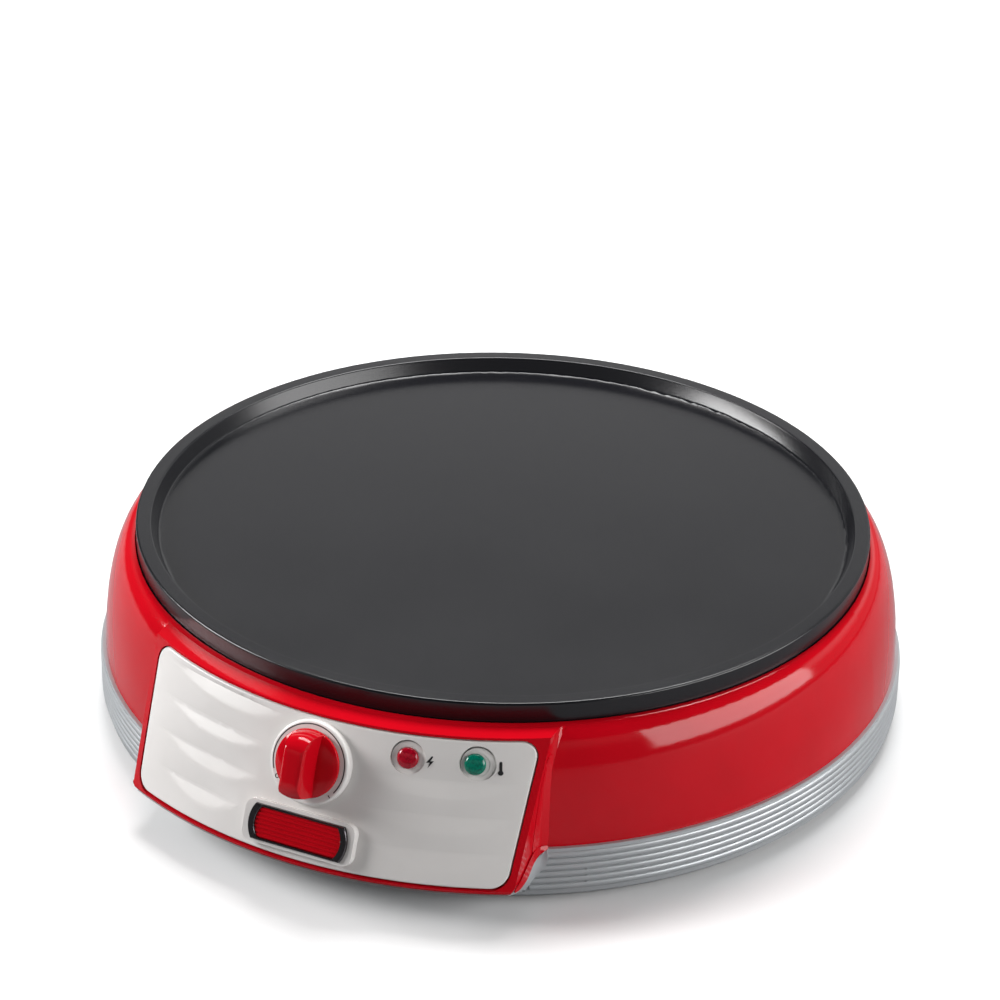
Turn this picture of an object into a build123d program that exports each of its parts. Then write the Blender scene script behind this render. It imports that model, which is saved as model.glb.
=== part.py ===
"""Electric crepe maker, in millimetres: +Z up, front towards -Y, standing on Z = 0.

The round body's axis is upright at (0, axis_y). The origin is on the table, in the middle of the
whole depth, which runs from the knob's tip in front to the cord bush behind.
"""

import os
from math import cos, radians, sin, sqrt, tan

from build123d import *

# ---------------------------------------------------------------- driving dimensions

# Cooking plate
plate_r = 150.0  # outer radius
plate_top = 79.0  # height of the rim over the table
plate_depth = 12.0  # rim to underside
rim_w = 6.3  # width of the flat rim
recess = 6.0  # depth of the cooking face below the rim
recess_lean = 2.8  # how far the recess wall leans in
recess_fillet = 1.6  # rounding at the foot of the recess wall
plate_edge = 0.9  # rounding of the rim
boss_pitch_r = 66.0  # radius that the plate's screw bosses stand on
boss_r = 7.0
boss_angles = (45.0, 135.0, 225.0, 315.0)

# Red body shell
shell_gap = 0.5  # air between the plate and the shell's top edge
shell_bulge = 13.4  # how far the shell swells out below its top edge
shell_top = 71.1
shell_wall = 2.6
joint_z = 24.6  # height at which shell and base ring meet
lip_t = 1.7  # register lip that drops into the base ring
lip_h = 4.0
lip_gap = 0.3
shell_boss_r = 4.5  # bosses that take the base screws
shell_boss_top = 38.0
shell_web_t = 3.0
base_screw_pitch_r = 153.5
base_screw_angles = (40.0, 90.0, 142.0, 218.0, 270.0, 320.0)

# Control face: a cone about the body's axis that leans back
face_tilt = 21.83  # degrees from upright
face_top_z = 69.1
face_top_out = 10.5  # how far its top stands out past the shell's opening
panel_low_z = 17.7
panel_low_half = 78.3  # half width at the bottom
panel_lean = 2.0  # how much further out each side stands at the top
panel_corner = 6.0
panel_t = 2.5
panel_edge = 0.7
panel_gap = 0.7  # slot between panel and fairing
panel_ledge = 2.4  # width of the ledge behind the panel's edge
ledge_t = 1.8

# Fairing of the shell, which frames the panel
fairing_margin = 2.4  # red margin beside the panel's slot
fairing_low_z = 14.3
fairing_top_z = 70.6
fairing_corner = 5.0
fairing_edge = 1.3  # rounding of the front edge
fairing_root = 2.2  # rounding where the fairing grows out of the body
fairing_step = 3.6  # drop of the fairing's lower edge where it leaves the ring
fairing_step_out = 0.7

# Silver base ring
ring_proud = 2.0  # how far the ring's beads stand out past the shell
ring_wall = 3.0
ring_edge = 1.5  # chamfer along the ring's foot
foot_h = 2.8  # the ring's lower edge over the table
flange_t = 4.0
flange_in_r = 146.0
bead_count = 6
bead_pitch = 2.35
bead_w = 1.6
bead_h = 0.6
bead_top_z = 20.2  # centre of the highest bead
bead_end_angle = 31.2  # the beads stop here, measured from the front
chin_low_half = 77.0  # half width of the chin at its foot
chin_foot_z = 5.8
chin_set_back = 1.6  # how far the chin's front edge stays behind the fairing's

# Feet
foot_r = 7.0
foot_pitch_r = 153.5
foot_sink = 1.2  # depth of the foot's seat in the ring's flange
foot_edge = 0.8
foot_angles = (60.0, 120.0, 240.0, 300.0)

# Bottom cover
cover_t = 2.5
cover_gap = 1.5  # between the cover's edge and the ring's wall
post_r = 8.0
rib_t = 2.0
rib_h = 6.0
rib_ring_r = 108.0
vent_w = 3.5
vent_length = 26.0
vent_pitch_r = 88.0
vent_count = 24
vent_start = 7.5  # turns the vents clear of the posts

# Heating element and what holds it
element_r = 95.0  # radius of its centre line
tube_r = 3.25
tube_fit = 0.1
element_gap_angle = 12.0  # half of the opening at the back
element_bend = 9.0
element_leg = 8.0
track_w = 25.0
track_h = 5.0
clip_t = 0.8
clip_ear = 7.0
clip_w = 8.0
clip_angles = (0.0, 90.0, 150.0, 210.0, 270.0)
element_screw_bite = 5.0
plate_clip_bite = 3.5

# Reflector under the plate
reflector_z = 56.0  # its underside
reflector_t = 0.8
reflector_r = 131.0
reflector_rim_h = 7.0
reflector_flare = 2.5
spacer_h = 20.0
spacer_r = 5.0

# Screws
m4_r = 2.0
m4_head_r = 3.8
m4_head_h = 2.6
m3_r = 1.5
m3_head_r = 2.7
m3_head_h = 1.8
thread_fit = 0.02  # radial play between a drawn shank and its core hole
screw_free = 0.3  # radial play in a clearance hole
head_free = 0.5  # radial play in a counterbore
base_bore = 2.7  # depth of the base screws' counterbores
base_screw_grip = 17.0  # length in the shell's boss
plate_head_z = 24.0  # height at which the plate screws' heads bear
plate_screw_bite = 7.0  # length in the plate's boss

# Dial, knob and thermostat, measured outward from the control face at the knob
knob_z = 53.5
dial_r = 16.2
dial_proud = 3.0
dial_edge = 1.2
knob_gap = 0.5
knob_r = 13.5
knob_flange_t = 4.2
knob_dome = 1.4
grip_w = 8.4  # width of the grip where it leaves the flange
grip_top_w = 5.9
grip_h = 11.0
grip_edge = 1.6  # rounding of the grip's top
grip_slope = 2.6  # how far the grip's ends lean in
knob_hollow_r = 11.0
knob_hollow = 2.4
hub_r = 5.4
shaft_r = 3.0
shaft_fit = 0.05
shaft_free = 0.8  # radial room in the panel
shaft_flat = 1.8  # distance of the shaft's flat from its axis
shaft_flat_length = 9.4
shaft_in_knob = 8.6
spring_t = 0.5
spring_w = 3.4
spring_length = 6.0
spring_fit = 0.03
bracket_drop = 9.0  # bracket's front behind the control face
bracket_w = 60.0
bracket_h = 20.0
bracket_t = 1.2
bracket_screw_x = 25.0
bracket_post_r = 4.2
post_root = 0.8  # how far a post runs into the back of the panel
thermostat_w = 38.0
thermostat_h = 25.0
thermostat_d = 22.0
thermostat_screw_x = 14.0
thermostat_screw_bite = 6.0
bracket_screw_bite = 4.5
bushing_r = 5.5
bushing_h = 3.6
chamber_r = 6.5
chamber_start = 8.0  # depth of the chamber behind the thermostat's front
chamber_d = 8.5
collar_r = 5.0
collar_t = 2.4
pusher_r = 1.5
pusher_length = 9.0
pusher_gap = 1.0
thermostat_tab_x = 11.0
thermostat_tab_high = 6.0
thermostat_tab_low = -5.0
tab_root = 5.0  # length of a tab inside what it stands in
tab_w = 6.3  # push-on tabs
tab_t = 0.8
tab_length = 8.0
pin_r = 1.1
sleeve_wall = 0.85  # insulating sleeves of the push-on receptacles
sleeve_h = 4.2
sleeve_length = 13.0

# Badge
badge_z = 28.4
pad_half = 23.0
pad_h = 16.4
pad_proud = 2.0
pad_corner = 4.0
frame_half = 20.6
frame_waist = 18.6  # half width at the frame's corners
frame_h = 13.6
frame_bar = 0.9  # width of the frame's top and bottom bars
frame_end = 2.6  # width of the frame's end bands
frame_proud = 1.2
frame_sink = 0.8
badge_fit = 0.1
insert_drop = 0.5  # insert's face below the frame's
insert_rib_count = 7
insert_rib_h = 0.35

# Signal lamps
heat_lamp_in = 19.3  # distance of the heat lamp from the panel's top corner
lamp_pitch = 25.0  # distance between the two lamps
power_z = 61.6
heat_z = 61.5
lamp_recess_r = 6.6
lamp_recess_lip = 0.4  # depth of the recess at its shallow side
lamp_floor_t = 2.0
lamp_boss_wall = 0.9
lamp_boss_gap = 0.4
lens_r = 4.0
lens_rise = 1.6
stem_r = 3.2
stem_fit = 0.1
stem_in_socket = 4.5
socket_r = 4.4
socket_length = 19.0
neon_r = 2.4
neon_length = 11.0
lamp_lead_r = 0.9
lamp_lead_gap = 2.0  # half distance between a lamp's two leads
lamp_lead_bite = 1.5

# Snap hooks behind the panel's sides
hook_heights = (30.0, 56.0)
hook_w = 9.0
hook_t = 1.3
hook_gap = 0.4
hook_bite = 0.9  # how far a hook reaches behind the ledge
hook_barb = 1.6

# Sensor and fuse under the plate
bulb_r = 3.0
bulb_length = 46.0
bulb_y = -38.0
capillary_r = 0.9
fuse_r = 2.2
fuse_length = 16.0
fuse_y = 30.0
touch = 0.05  # play of a round piece against the flat face it lies on
fuse_lead_x = 20.0  # where the fuse's leads turn down
capillary_up = -8.0
capillary_rise = 4.0
capillary_low = (10.0, -90.0, 22.0)

# Earth point under the plate
earth_x, earth_y = -10.0, 62.0
earth_down_y = 80.0
earth_screw_bite = 6.0
lug_w = 8.0
lug_length = 9.0  # from the screw to the lead
lug_t = 0.8

# Mains inlet
inlet_z = 13.6
pad_r = 10.0
pad_stand = 1.2  # how far the flat pad stands out past the beads
bush_r = 6.0
bush_fit = 0.05
bush_flange_r = 8.6
bush_flange_t = 2.0
bush_inner_r = 6.6
bush_inner_t = 1.1
cord_bore_r = 3.6
terminal_y = 118.0
terminal_w = 60.0
terminal_d = 16.0
terminal_h = 14.0
pole_pitch = 10.0
pole_up = 9.0  # height of the bores over the cover
pole_r = 2.0
pole_count = 6
lead_bite = 6.0  # length of a lead in its bore
pole_screw_r = 1.2
pole_screw_head_r = 2.0
pole_screw_head_h = 1.0
pole_screw_y = 4.0  # distance of the screws from the block's middle
block_screw_x = 10.0
block_screw_bite = 7.0
clamp_y = 141.0
clamp_half = 13.0  # screw distance from the middle
clamp_d = 8.0
clamp_t = 3.2
clamp_post_r = 4.0
clamp_screw_bite = 7.0
clamp_squeeze = 0.5  # how far the clamp presses into the cord
cord_r = 3.5  # cord that the clamp is made for

# Internal leads
lead_r = 1.3
lead_hole_r = 4.0
lead_fit = 0.05
high_route_z = 42.0  # leads that cross under the reflector
low_route_z = 30.0  # leads that run between the posts
tab_run = 14.0  # straight run out of a sleeve
side_route_x = 64.0  # lead that passes outside the posts
capillary_x = 37.0
capillary_hole_r = 2.5
leg_hole_r = 5.0

# ---------------------------------------------------------------- derived sizes

tilt = radians(face_tilt)
plate_under = plate_top - plate_depth
element_z = plate_under - track_h
boss_low_z = reflector_z + reflector_t
shell_top_r = plate_r + shell_gap
shell_r = shell_top_r + shell_bulge
shell_rise = shell_top - joint_z
face_top_r = shell_top_r + face_top_out
panel_top_half = panel_low_half + panel_lean
heat_x = panel_top_half - heat_lamp_in
power_x = heat_x - lamp_pitch
ring_r = shell_r + ring_proud
ring_wall_r = ring_r - bead_h
ring_in_r = ring_r - ring_wall
flange_z = foot_h + flange_t
floor_z = flange_z + cover_t
cover_r = ring_in_r - cover_gap
post_top = reflector_z - spacer_h
fairing_out = panel_gap + fairing_margin


def face_r(z):
    """Radius of the control face's cone at height z."""
    return face_top_r + (face_top_z - z) * tan(tilt)


def face_depth(x, z):
    """Distance of the control face in front of the body's axis at x and z."""
    return sqrt(face_r(z) ** 2 - x**2)


knob_reach = dial_proud + knob_gap + knob_flange_t + grip_h
grip_half = knob_r - grip_slope  # half length of the grip's top
front_reach = face_depth(0, knob_z) + knob_reach * cos(tilt) + (grip_half - grip_edge / 2) * sin(tilt)
back_reach = ring_r + pad_stand + bush_flange_t
axis_y = (front_reach - back_reach) / 2
turn = Axis((0, axis_y, 0), (0, 0, 1))


def level(z):
    """Horizontal plane at height z, with its origin on the body's axis."""
    return Plane((0, axis_y, z))


def looking_down(x, y, z):
    """Plane that faces down, at x and y from the body's axis."""
    return Plane((x, axis_y + y, z), x_dir=(1, 0, 0), z_dir=(0, 0, -1))


def looking_up(x, y, z):
    """Plane that faces up, at x and y from the body's axis."""
    return Plane((x, axis_y + y, z))


def radial(angle):
    """Upright plane of radius and height; 0 degrees is the front and 90 degrees is +X."""
    a = radians(angle)
    return Plane((0, axis_y, 0), x_dir=(sin(a), -cos(a), 0), z_dir=(-cos(a), -sin(a), 0))


def around(radius, angle):
    """Point at this radius and angle from the body's axis, with 0 degrees at the front."""
    a = radians(angle)
    return radius * sin(a), -radius * cos(a)


def on_face(x, z, out=0.0):
    """Plane on the control face, square to the panel's middle and moved outward by out."""
    point = (x, axis_y - face_depth(x, z), z)
    return Plane(point, x_dir=(1, 0, 0), z_dir=(0, -cos(tilt), sin(tilt))).offset(out)


knob_face = on_face(0, knob_z)
inlet = Plane((0, axis_y + ring_r + pad_stand, inlet_z), x_dir=(-1, 0, 0), z_dir=(0, 1, 0))
base_screws_at = [around(base_screw_pitch_r, angle) for angle in base_screw_angles]
feet_at = [around(foot_pitch_r, angle) for angle in foot_angles]
base_screw_shank = floor_z - foot_h - base_bore + base_screw_grip
clamp_seat_z = inlet_z + cord_r - clamp_squeeze


def behind_knob(x, up, depth):
    """Point behind the control face at the knob: x, up the face, and depth into the body."""
    return knob_face.from_local_coords((x, up, -depth))


badge_face = on_face(0, badge_z, pad_proud)


def behind(x, z, depth):
    """Plane that faces into the body, at this depth behind the control face."""
    return Plane(on_face(x, z, -depth).origin, x_dir=(1, 0, 0), z_dir=(0, cos(tilt), -sin(tilt)))


lamps_at = [(power_x, power_z), (heat_x, heat_z)]
lamp_boss_r = lamp_recess_r + lamp_boss_wall
bracket_back = bracket_drop + bracket_t
thermostat_back = bracket_back + thermostat_d
sleeve_end = thermostat_back + sleeve_length
terminal_top = floor_z + terminal_h
terminal_front = terminal_y - terminal_d / 2
pole_z = floor_z + pole_up
poles_x = [(i - (pole_count - 1) / 2) * pole_pitch for i in range(pole_count)]

def recess_depth(x, z):
    """Depth of a lamp recess at its centre, so that its shallow side is still a lip deep."""
    fall = face_depth(x, z) - face_depth(x + lamp_recess_r, z)
    return fall * cos(tilt) + lamp_recess_lip


def ledge_depth(x, z):
    """Depth of the ledge's back below the control face, square to the panel's middle."""
    ledge_back = (panel_t + ledge_t) / cos(tilt)
    return ledge_back / (cos(tilt) * face_depth(x, z) / face_r(z) + sin(tilt) * tan(tilt))


def into_body(x, up, depth):
    """Plane behind the control face at the knob that faces into the body."""
    return Plane(behind_knob(x, up, depth), x_dir=(1, 0, 0), z_dir=(0, cos(tilt), -sin(tilt)))


def out_of_body(x, up, depth):
    """Plane behind the control face at the knob that faces out at the user."""
    return Plane(behind_knob(x, up, depth), x_dir=(1, 0, 0), z_dir=(0, -cos(tilt), sin(tilt)))


def at(x, y, z):
    """Point at x and y from the body's axis."""
    return Vector(x, axis_y + y, z)


# ---------------------------------------------------------------- shapes used more than once

sector_angle = 40.0  # half angle that reaches past the fairing's sides
front_depth = 220.0  # reaches from the body's axis past the front


def sector(points):
    """Ring segment about the body's axis, centred on the front, with this section."""
    with BuildPart() as segment:
        with BuildSketch(radial(-sector_angle)):
            with BuildLine():
                Polyline(*points, close=True)
            make_face()
        revolve(axis=turn, revolution_arc=2 * sector_angle)
    return segment.part


def front_block(top_half, low_half, low_z, top_z, corner=0.0):
    """Block over the front whose front view has leaning sides and rounded corners."""
    left_low, right_low = (-low_half, low_z), (low_half, low_z)
    left_top, right_top = (-top_half, top_z), (top_half, top_z)
    with BuildPart() as block:
        with BuildSketch(radial(90)):
            with BuildLine():
                Polyline(left_low, right_low, right_top, left_top, close=True)
            make_face()
            if corner > 0:
                fillet(vertices(), corner)
        extrude(amount=front_depth)
    return block.part


def badge_outline(half, waist, high):
    """Badge outline: straight top and bottom, ends that bulge outward."""
    with BuildLine(mode=Mode.PRIVATE) as badge_line:
        Line((-waist, high), (waist, high))
        ThreePointArc((waist, high), (half, 0), (waist, -high))
        Line((waist, -high), (-waist, -high))
        ThreePointArc((-waist, -high), (-half, 0), (-waist, high))
    return badge_line.edges()


def pan_screw(seat, length, shank_r, head_r, head_h):
    """Pan head screw: its head stands on the seat plane and its shank runs behind it."""
    cross_w = head_r / 4
    cross_length = head_r * 1.2
    with BuildPart() as screw:
        with BuildSketch(seat):
            Circle(shank_r - thread_fit)
        extrude(amount=-length)
        with BuildSketch(seat):
            Circle(head_r)
        extrude(amount=head_h)
        rim = faces().sort_by(Axis(seat.origin, seat.z_dir))[-1]
        chamfer(rim.edges(), head_h / 4)
        with BuildSketch(seat.offset(head_h)):
            Rectangle(cross_length, cross_w)
            Rectangle(cross_w, cross_length)
        extrude(amount=-head_h / 2, mode=Mode.SUBTRACT)
    return screw.part


def hanging_clip(x, y, face_z, across, held_r, drop):
    """Saddle that holds a round piece up against a face that looks down.

    The held piece runs square to the angle across, with its axis a drop below the face.
    """
    a = radians(across)
    section = Plane(
        (x, axis_y + y, face_z), x_dir=(cos(a), sin(a), 0), z_dir=(-sin(a), cos(a), 0)
    )
    inner_r = held_r + tube_fit
    outer_r = inner_r + clip_t
    half = outer_r + clip_ear
    with BuildPart() as clip:
        with BuildSketch(section):
            with Locations((0, clip_t / 2)):
                Rectangle(2 * half, clip_t)
            with Locations((0, drop)):
                Circle(outer_r)
            if drop > 0:
                with Locations((0, drop / 2)):
                    Rectangle(2 * outer_r, drop)
            with Locations((0, drop)):
                Circle(inner_r, mode=Mode.SUBTRACT)
            with Locations((0, drop - outer_r)):
                Rectangle(2 * inner_r, 2 * outer_r, mode=Mode.SUBTRACT)
            with Locations((0, -half)):
                Rectangle(2 * half, 2 * half, mode=Mode.SUBTRACT)
        extrude(amount=clip_w / 2, both=True)
        ears = ear_points(x, y, across, held_r)
        with Locations(*[looking_down(ear_x, ear_y, face_z - clip_t) for ear_x, ear_y in ears]):
            Hole(m3_r + screw_free)
    return clip.part


def ear_points(x, y, across, held_r):
    """Centres of a hanging clip's two screw holes, from the body's axis."""
    a = radians(across)
    reach = held_r + tube_fit + clip_t + clip_ear / 2
    return [(x + side * reach * cos(a), y + side * reach * sin(a)) for side in (-1, 1)]


def lead(points, radius):
    """Insulated lead: straight runs joined by tangent arcs as large as the runs allow."""
    with BuildPart() as tube:
        with BuildLine() as route:
            FilletPolyline(*points, radius=bend_radii(points))
        with BuildSketch(Plane(route.line @ 0, z_dir=route.line % 0)):
            Circle(radius)
        sweep()
    return tube.part


def bend_radii(points):
    """One radius for each corner of a route."""
    bend_share = 0.45  # share of the shorter run that an arc takes
    radii = []
    for before, corner, after in zip(points, points[1:], points[2:]):
        run_in = Vector(corner) - Vector(before)
        run_out = Vector(after) - Vector(corner)
        half_turn = radians(run_in.get_angle(run_out)) / 2
        radii.append(bend_share * min(run_in.length, run_out.length) / tan(half_turn))
    return radii


os.makedirs("parts", exist_ok=True)

# ---------------------------------------------------------------- cooking plate

clip_spots = [(*around(element_r, angle), angle - 90) for angle in clip_angles]
element_clip_holes = [p for x, y, a in clip_spots for p in ear_points(x, y, a, tube_r)]
bulb_clip_holes = ear_points(0, bulb_y, 90, bulb_r)
fuse_clip_holes = ear_points(0, fuse_y, 90, fuse_r)
plate_bosses = [around(boss_pitch_r, angle) for angle in boss_angles]

with BuildPart() as cooking_plate:
    cook_z = plate_top - recess
    rim_in_r = plate_r - rim_w
    with BuildSketch(radial(90)):
        with BuildLine():
            Polyline(
                (0, plate_under),
                (plate_r, plate_under),
                (plate_r, plate_top),
                (rim_in_r, plate_top),
                (rim_in_r - recess_lean, cook_z),
                (0, cook_z),
                close=True,
            )
        make_face()
        rim_corners = vertices().filter_by_position(Axis.X, rim_in_r - 1, plate_r + 1)
        fillet(rim_corners, plate_edge)
        foot = vertices().filter_by_position(
            Axis.X, rim_in_r - recess_lean - 1, rim_in_r - recess_lean + 1
        )
        fillet(foot, recess_fillet)
    revolve(axis=turn)
    with BuildSketch(level(plate_under)):
        Circle(element_r + track_w / 2)
        Circle(element_r - track_w / 2, mode=Mode.SUBTRACT)
        with Locations(*plate_bosses, (earth_x, earth_y)):
            Circle(boss_r)
    extrude(amount=-track_h)
    with BuildSketch(level(plate_under)):
        with Locations(*plate_bosses):
            Circle(boss_r)
    extrude(amount=boss_low_z - plate_under)
    with BuildSketch(radial(90)):
        with Locations((element_r, element_z)):
            Circle(tube_r + tube_fit)
    revolve(axis=turn, mode=Mode.SUBTRACT)
    with Locations(*[looking_down(x, y, boss_low_z) for x, y in plate_bosses]):
        Hole(m4_r, plate_screw_bite + 1)
    with Locations(*[looking_down(x, y, element_z) for x, y in element_clip_holes]):
        Hole(m3_r, 6)
    with Locations(*[looking_down(x, y, plate_under) for x, y in bulb_clip_holes + fuse_clip_holes]):
        Hole(m3_r, 4)
    with Locations(looking_down(earth_x, earth_y, element_z)):
        Hole(m4_r, 7)
cooking_plate.part.label = "cooking_plate"

# ---------------------------------------------------------------- red body shell with fairing

fairing_step_r = ring_r + fairing_step_out
fairing_step_z = joint_z - fairing_step
fairing_low_r = face_r(fairing_low_z)
fairing_root_r = shell_top_r - 12  # well inside the shell's wall


def parting_z(r):
    """Height of the fairing's lower edge, which runs down towards the front."""
    share = (r - fairing_step_r) / (fairing_low_r - fairing_step_r)
    return fairing_step_z + share * (fairing_low_z - fairing_step_z)


def half_at(z):
    """Half width of the control panel's outline at height z."""
    share = (z - panel_low_z) / (face_top_z - panel_low_z)
    return panel_low_half + share * (panel_top_half - panel_low_half)


def outline(out, low_z, top_z, corner):
    """Block whose sides run parallel to the panel's, a distance out from them."""
    return front_block(half_at(top_z) + out, half_at(low_z) + out, low_z, top_z, corner)


def panel_outline(out):
    """Block with the panel's own outline, grown by out all round."""
    return outline(out, panel_low_z - out, face_top_z + out, panel_corner + out)


with BuildPart() as fairing:
    add(
        sector(
            [
                (fairing_root_r, joint_z),
                (ring_r, joint_z),
                (fairing_step_r, fairing_step_z),
                (fairing_low_r, fairing_low_z),
                (face_r(fairing_top_z), fairing_top_z),
                (fairing_root_r, fairing_top_z),
            ]
        )
    )
    add(outline(fairing_out, fairing_low_z - 0.01, fairing_top_z + 10, fairing_corner), mode=Mode.INTERSECT)

hollow_low_z = fairing_low_z - 2 * shell_wall
hollow_top_z = fairing_top_z - shell_wall
panel_back = panel_t / cos(tilt)  # the panel's thickness, measured level
ledge_back = (panel_t + ledge_t) / cos(tilt)  # back of the ledge behind the panel, measured level
web_bite = 1.0  # how far a web runs into the shell's lip

with BuildPart() as fairing_hollow:
    add(
        sector(
            [
                (fairing_root_r, hollow_low_z),
                (face_r(hollow_low_z) - ledge_back, hollow_low_z),
                (face_r(hollow_top_z) - ledge_back, hollow_top_z),
                (fairing_root_r, hollow_top_z),
            ]
        )
    )
    add(
        outline(fairing_out - shell_wall, hollow_low_z - 1, hollow_top_z + 1, 0),
        mode=Mode.INTERSECT,
    )


def face_layer(depth):
    """Everything in front of a cone that lies a level distance behind the control face."""
    low_z, top_z = fairing_low_z - 20, fairing_top_z + 20
    reach = 20.0
    return sector(
        [
            (face_r(low_z) - depth, low_z),
            (face_r(low_z) + reach, low_z),
            (face_r(top_z) + reach, top_z),
            (face_r(top_z) - depth, top_z),
        ]
    )


with BuildPart() as panel_rebate:
    add(face_layer(panel_back))
    add(panel_outline(panel_gap), mode=Mode.INTERSECT)

with BuildPart() as panel_window:
    add(face_layer(ledge_back + shell_wall))
    add(panel_outline(-panel_ledge), mode=Mode.INTERSECT)

with BuildPart() as lip_relief:
    add(
        sector(
            [
                (fairing_root_r, joint_z - lip_h - 1),
                (ring_r, joint_z - lip_h - 1),
                (ring_r, joint_z + shell_wall),
                (fairing_root_r, joint_z + shell_wall),
            ]
        )
    )
    add(
        outline(fairing_out + lip_gap, joint_z - lip_h - 2, joint_z + shell_wall + 1, 0),
        mode=Mode.INTERSECT,
    )

with BuildPart() as body_shell:
    with BuildSketch(radial(90)):
        with BuildLine():
            Polyline((shell_top_r, shell_top), (0, shell_top), (0, joint_z), (shell_r, joint_z))
            EllipticalCenterArc((shell_top_r, joint_z), shell_bulge, shell_rise, 0, arc_size=90)
        make_face()
    revolve(axis=turn)
    add(fairing.part)
    root_edges = []
    front_face = faces().filter_by(GeomType.CONE).sort_by(Axis.Y)[0]
    side_faces = faces().filter_by(GeomType.PLANE).sort_by(Axis.X)
    for side_face in (side_faces[0], side_faces[-1]):
        root_edges.append(side_face.edges().filter_by(GeomType.BSPLINE)[0])
    fillet(root_edges, fairing_root)
    front_face = faces().filter_by(GeomType.CONE).sort_by(Axis.Y)[0]
    fillet(front_face.edges(), fairing_edge)

    # hollow of the round body
    with BuildSketch(radial(90)):
        with BuildLine():
            Polyline(
                (shell_top_r, shell_top - shell_wall),
                (0, shell_top - shell_wall),
                (0, joint_z),
                (shell_r - shell_wall, joint_z),
            )
            EllipticalCenterArc(
                (shell_top_r, joint_z), shell_bulge - shell_wall, shell_rise - shell_wall, 0, arc_size=90
            )
        make_face()
    revolve(axis=turn, mode=Mode.SUBTRACT)
    # opening that the plate lies in
    with BuildSketch(level(shell_top)):
        Circle(shell_top_r)
    extrude(amount=-2 * shell_wall, mode=Mode.SUBTRACT)
    # hollow of the fairing, open below and towards the body
    add(fairing_hollow.part, mode=Mode.SUBTRACT)
    # rebate that the panel sits in, and the window behind it
    add(panel_rebate.part, mode=Mode.SUBTRACT)
    add(panel_window.part, mode=Mode.SUBTRACT)
    # room for the lamp bosses
    for x, z in lamps_at:
        depth = recess_depth(x, z) + lamp_floor_t + lamp_boss_gap
        with BuildSketch(on_face(x, z, -depth)):
            Circle(lamp_boss_r + lamp_boss_gap)
        extrude(amount=depth, mode=Mode.SUBTRACT)
    # register lip into the base ring
    with BuildSketch(level(joint_z - lip_h)):
        Circle(ring_in_r - lip_gap)
        Circle(ring_in_r - lip_gap - lip_t, mode=Mode.SUBTRACT)
    extrude(amount=lip_h + shell_wall)
    add(lip_relief.part, mode=Mode.SUBTRACT)
    # bosses for the base screws, each tied to the wall by a web
    for angle in base_screw_angles:
        x, y = around(base_screw_pitch_r, angle)
        with BuildSketch(level(floor_z)):
            with Locations((x, y)):
                Circle(shell_boss_r)
        extrude(amount=shell_boss_top - floor_z)
        web_length = ring_in_r - lip_gap - lip_t - base_screw_pitch_r + web_bite
        with BuildSketch(level(joint_z - lip_h)):
            with Locations(around(base_screw_pitch_r + web_length / 2, angle)):
                Rectangle(web_length, shell_web_t, rotation=angle - 90)
        extrude(amount=shell_boss_top - joint_z + lip_h - shell_web_t)
        with Locations(looking_down(x, y, floor_z)):
            Hole(m4_r, base_screw_grip + 1)
body_shell.part.label = "body_shell"


# ---------------------------------------------------------------- silver base ring with chin

chin_r = fairing_low_r - chin_set_back
chin_wall = shell_wall
chin_in_r = chin_r - chin_wall
chin_slope = (parting_z(chin_r) - chin_foot_z) / (chin_r - ring_wall_r)

with BuildPart() as chin:
    add(
        sector(
            [
                (ring_in_r, joint_z),
                (ring_r, joint_z),
                (fairing_step_r, fairing_step_z),
                (chin_r, parting_z(chin_r)),
                (ring_wall_r, chin_foot_z),
                (ring_in_r, chin_foot_z),
            ]
        )
    )
    chin_top_half = half_at(joint_z) + fairing_out
    add(front_block(chin_top_half, chin_low_half, chin_foot_z - 1, joint_z + 1), mode=Mode.INTERSECT)

with BuildPart() as chin_hollow:
    hollow_slope_r = chin_in_r - (parting_z(chin_in_r) - flange_z) / chin_slope
    add(
        sector(
            [
                (flange_in_r - 1, flange_z),
                (min(hollow_slope_r, ring_in_r), flange_z),
                (chin_in_r, parting_z(chin_in_r) + 0.1),
                (chin_in_r, joint_z + 1),
                (flange_in_r - 1, joint_z + 1),
            ]
        )
    )
    add(
        front_block(chin_top_half - chin_wall, chin_low_half - chin_wall, flange_z - 1, joint_z + 2),
        mode=Mode.INTERSECT,
    )

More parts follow.
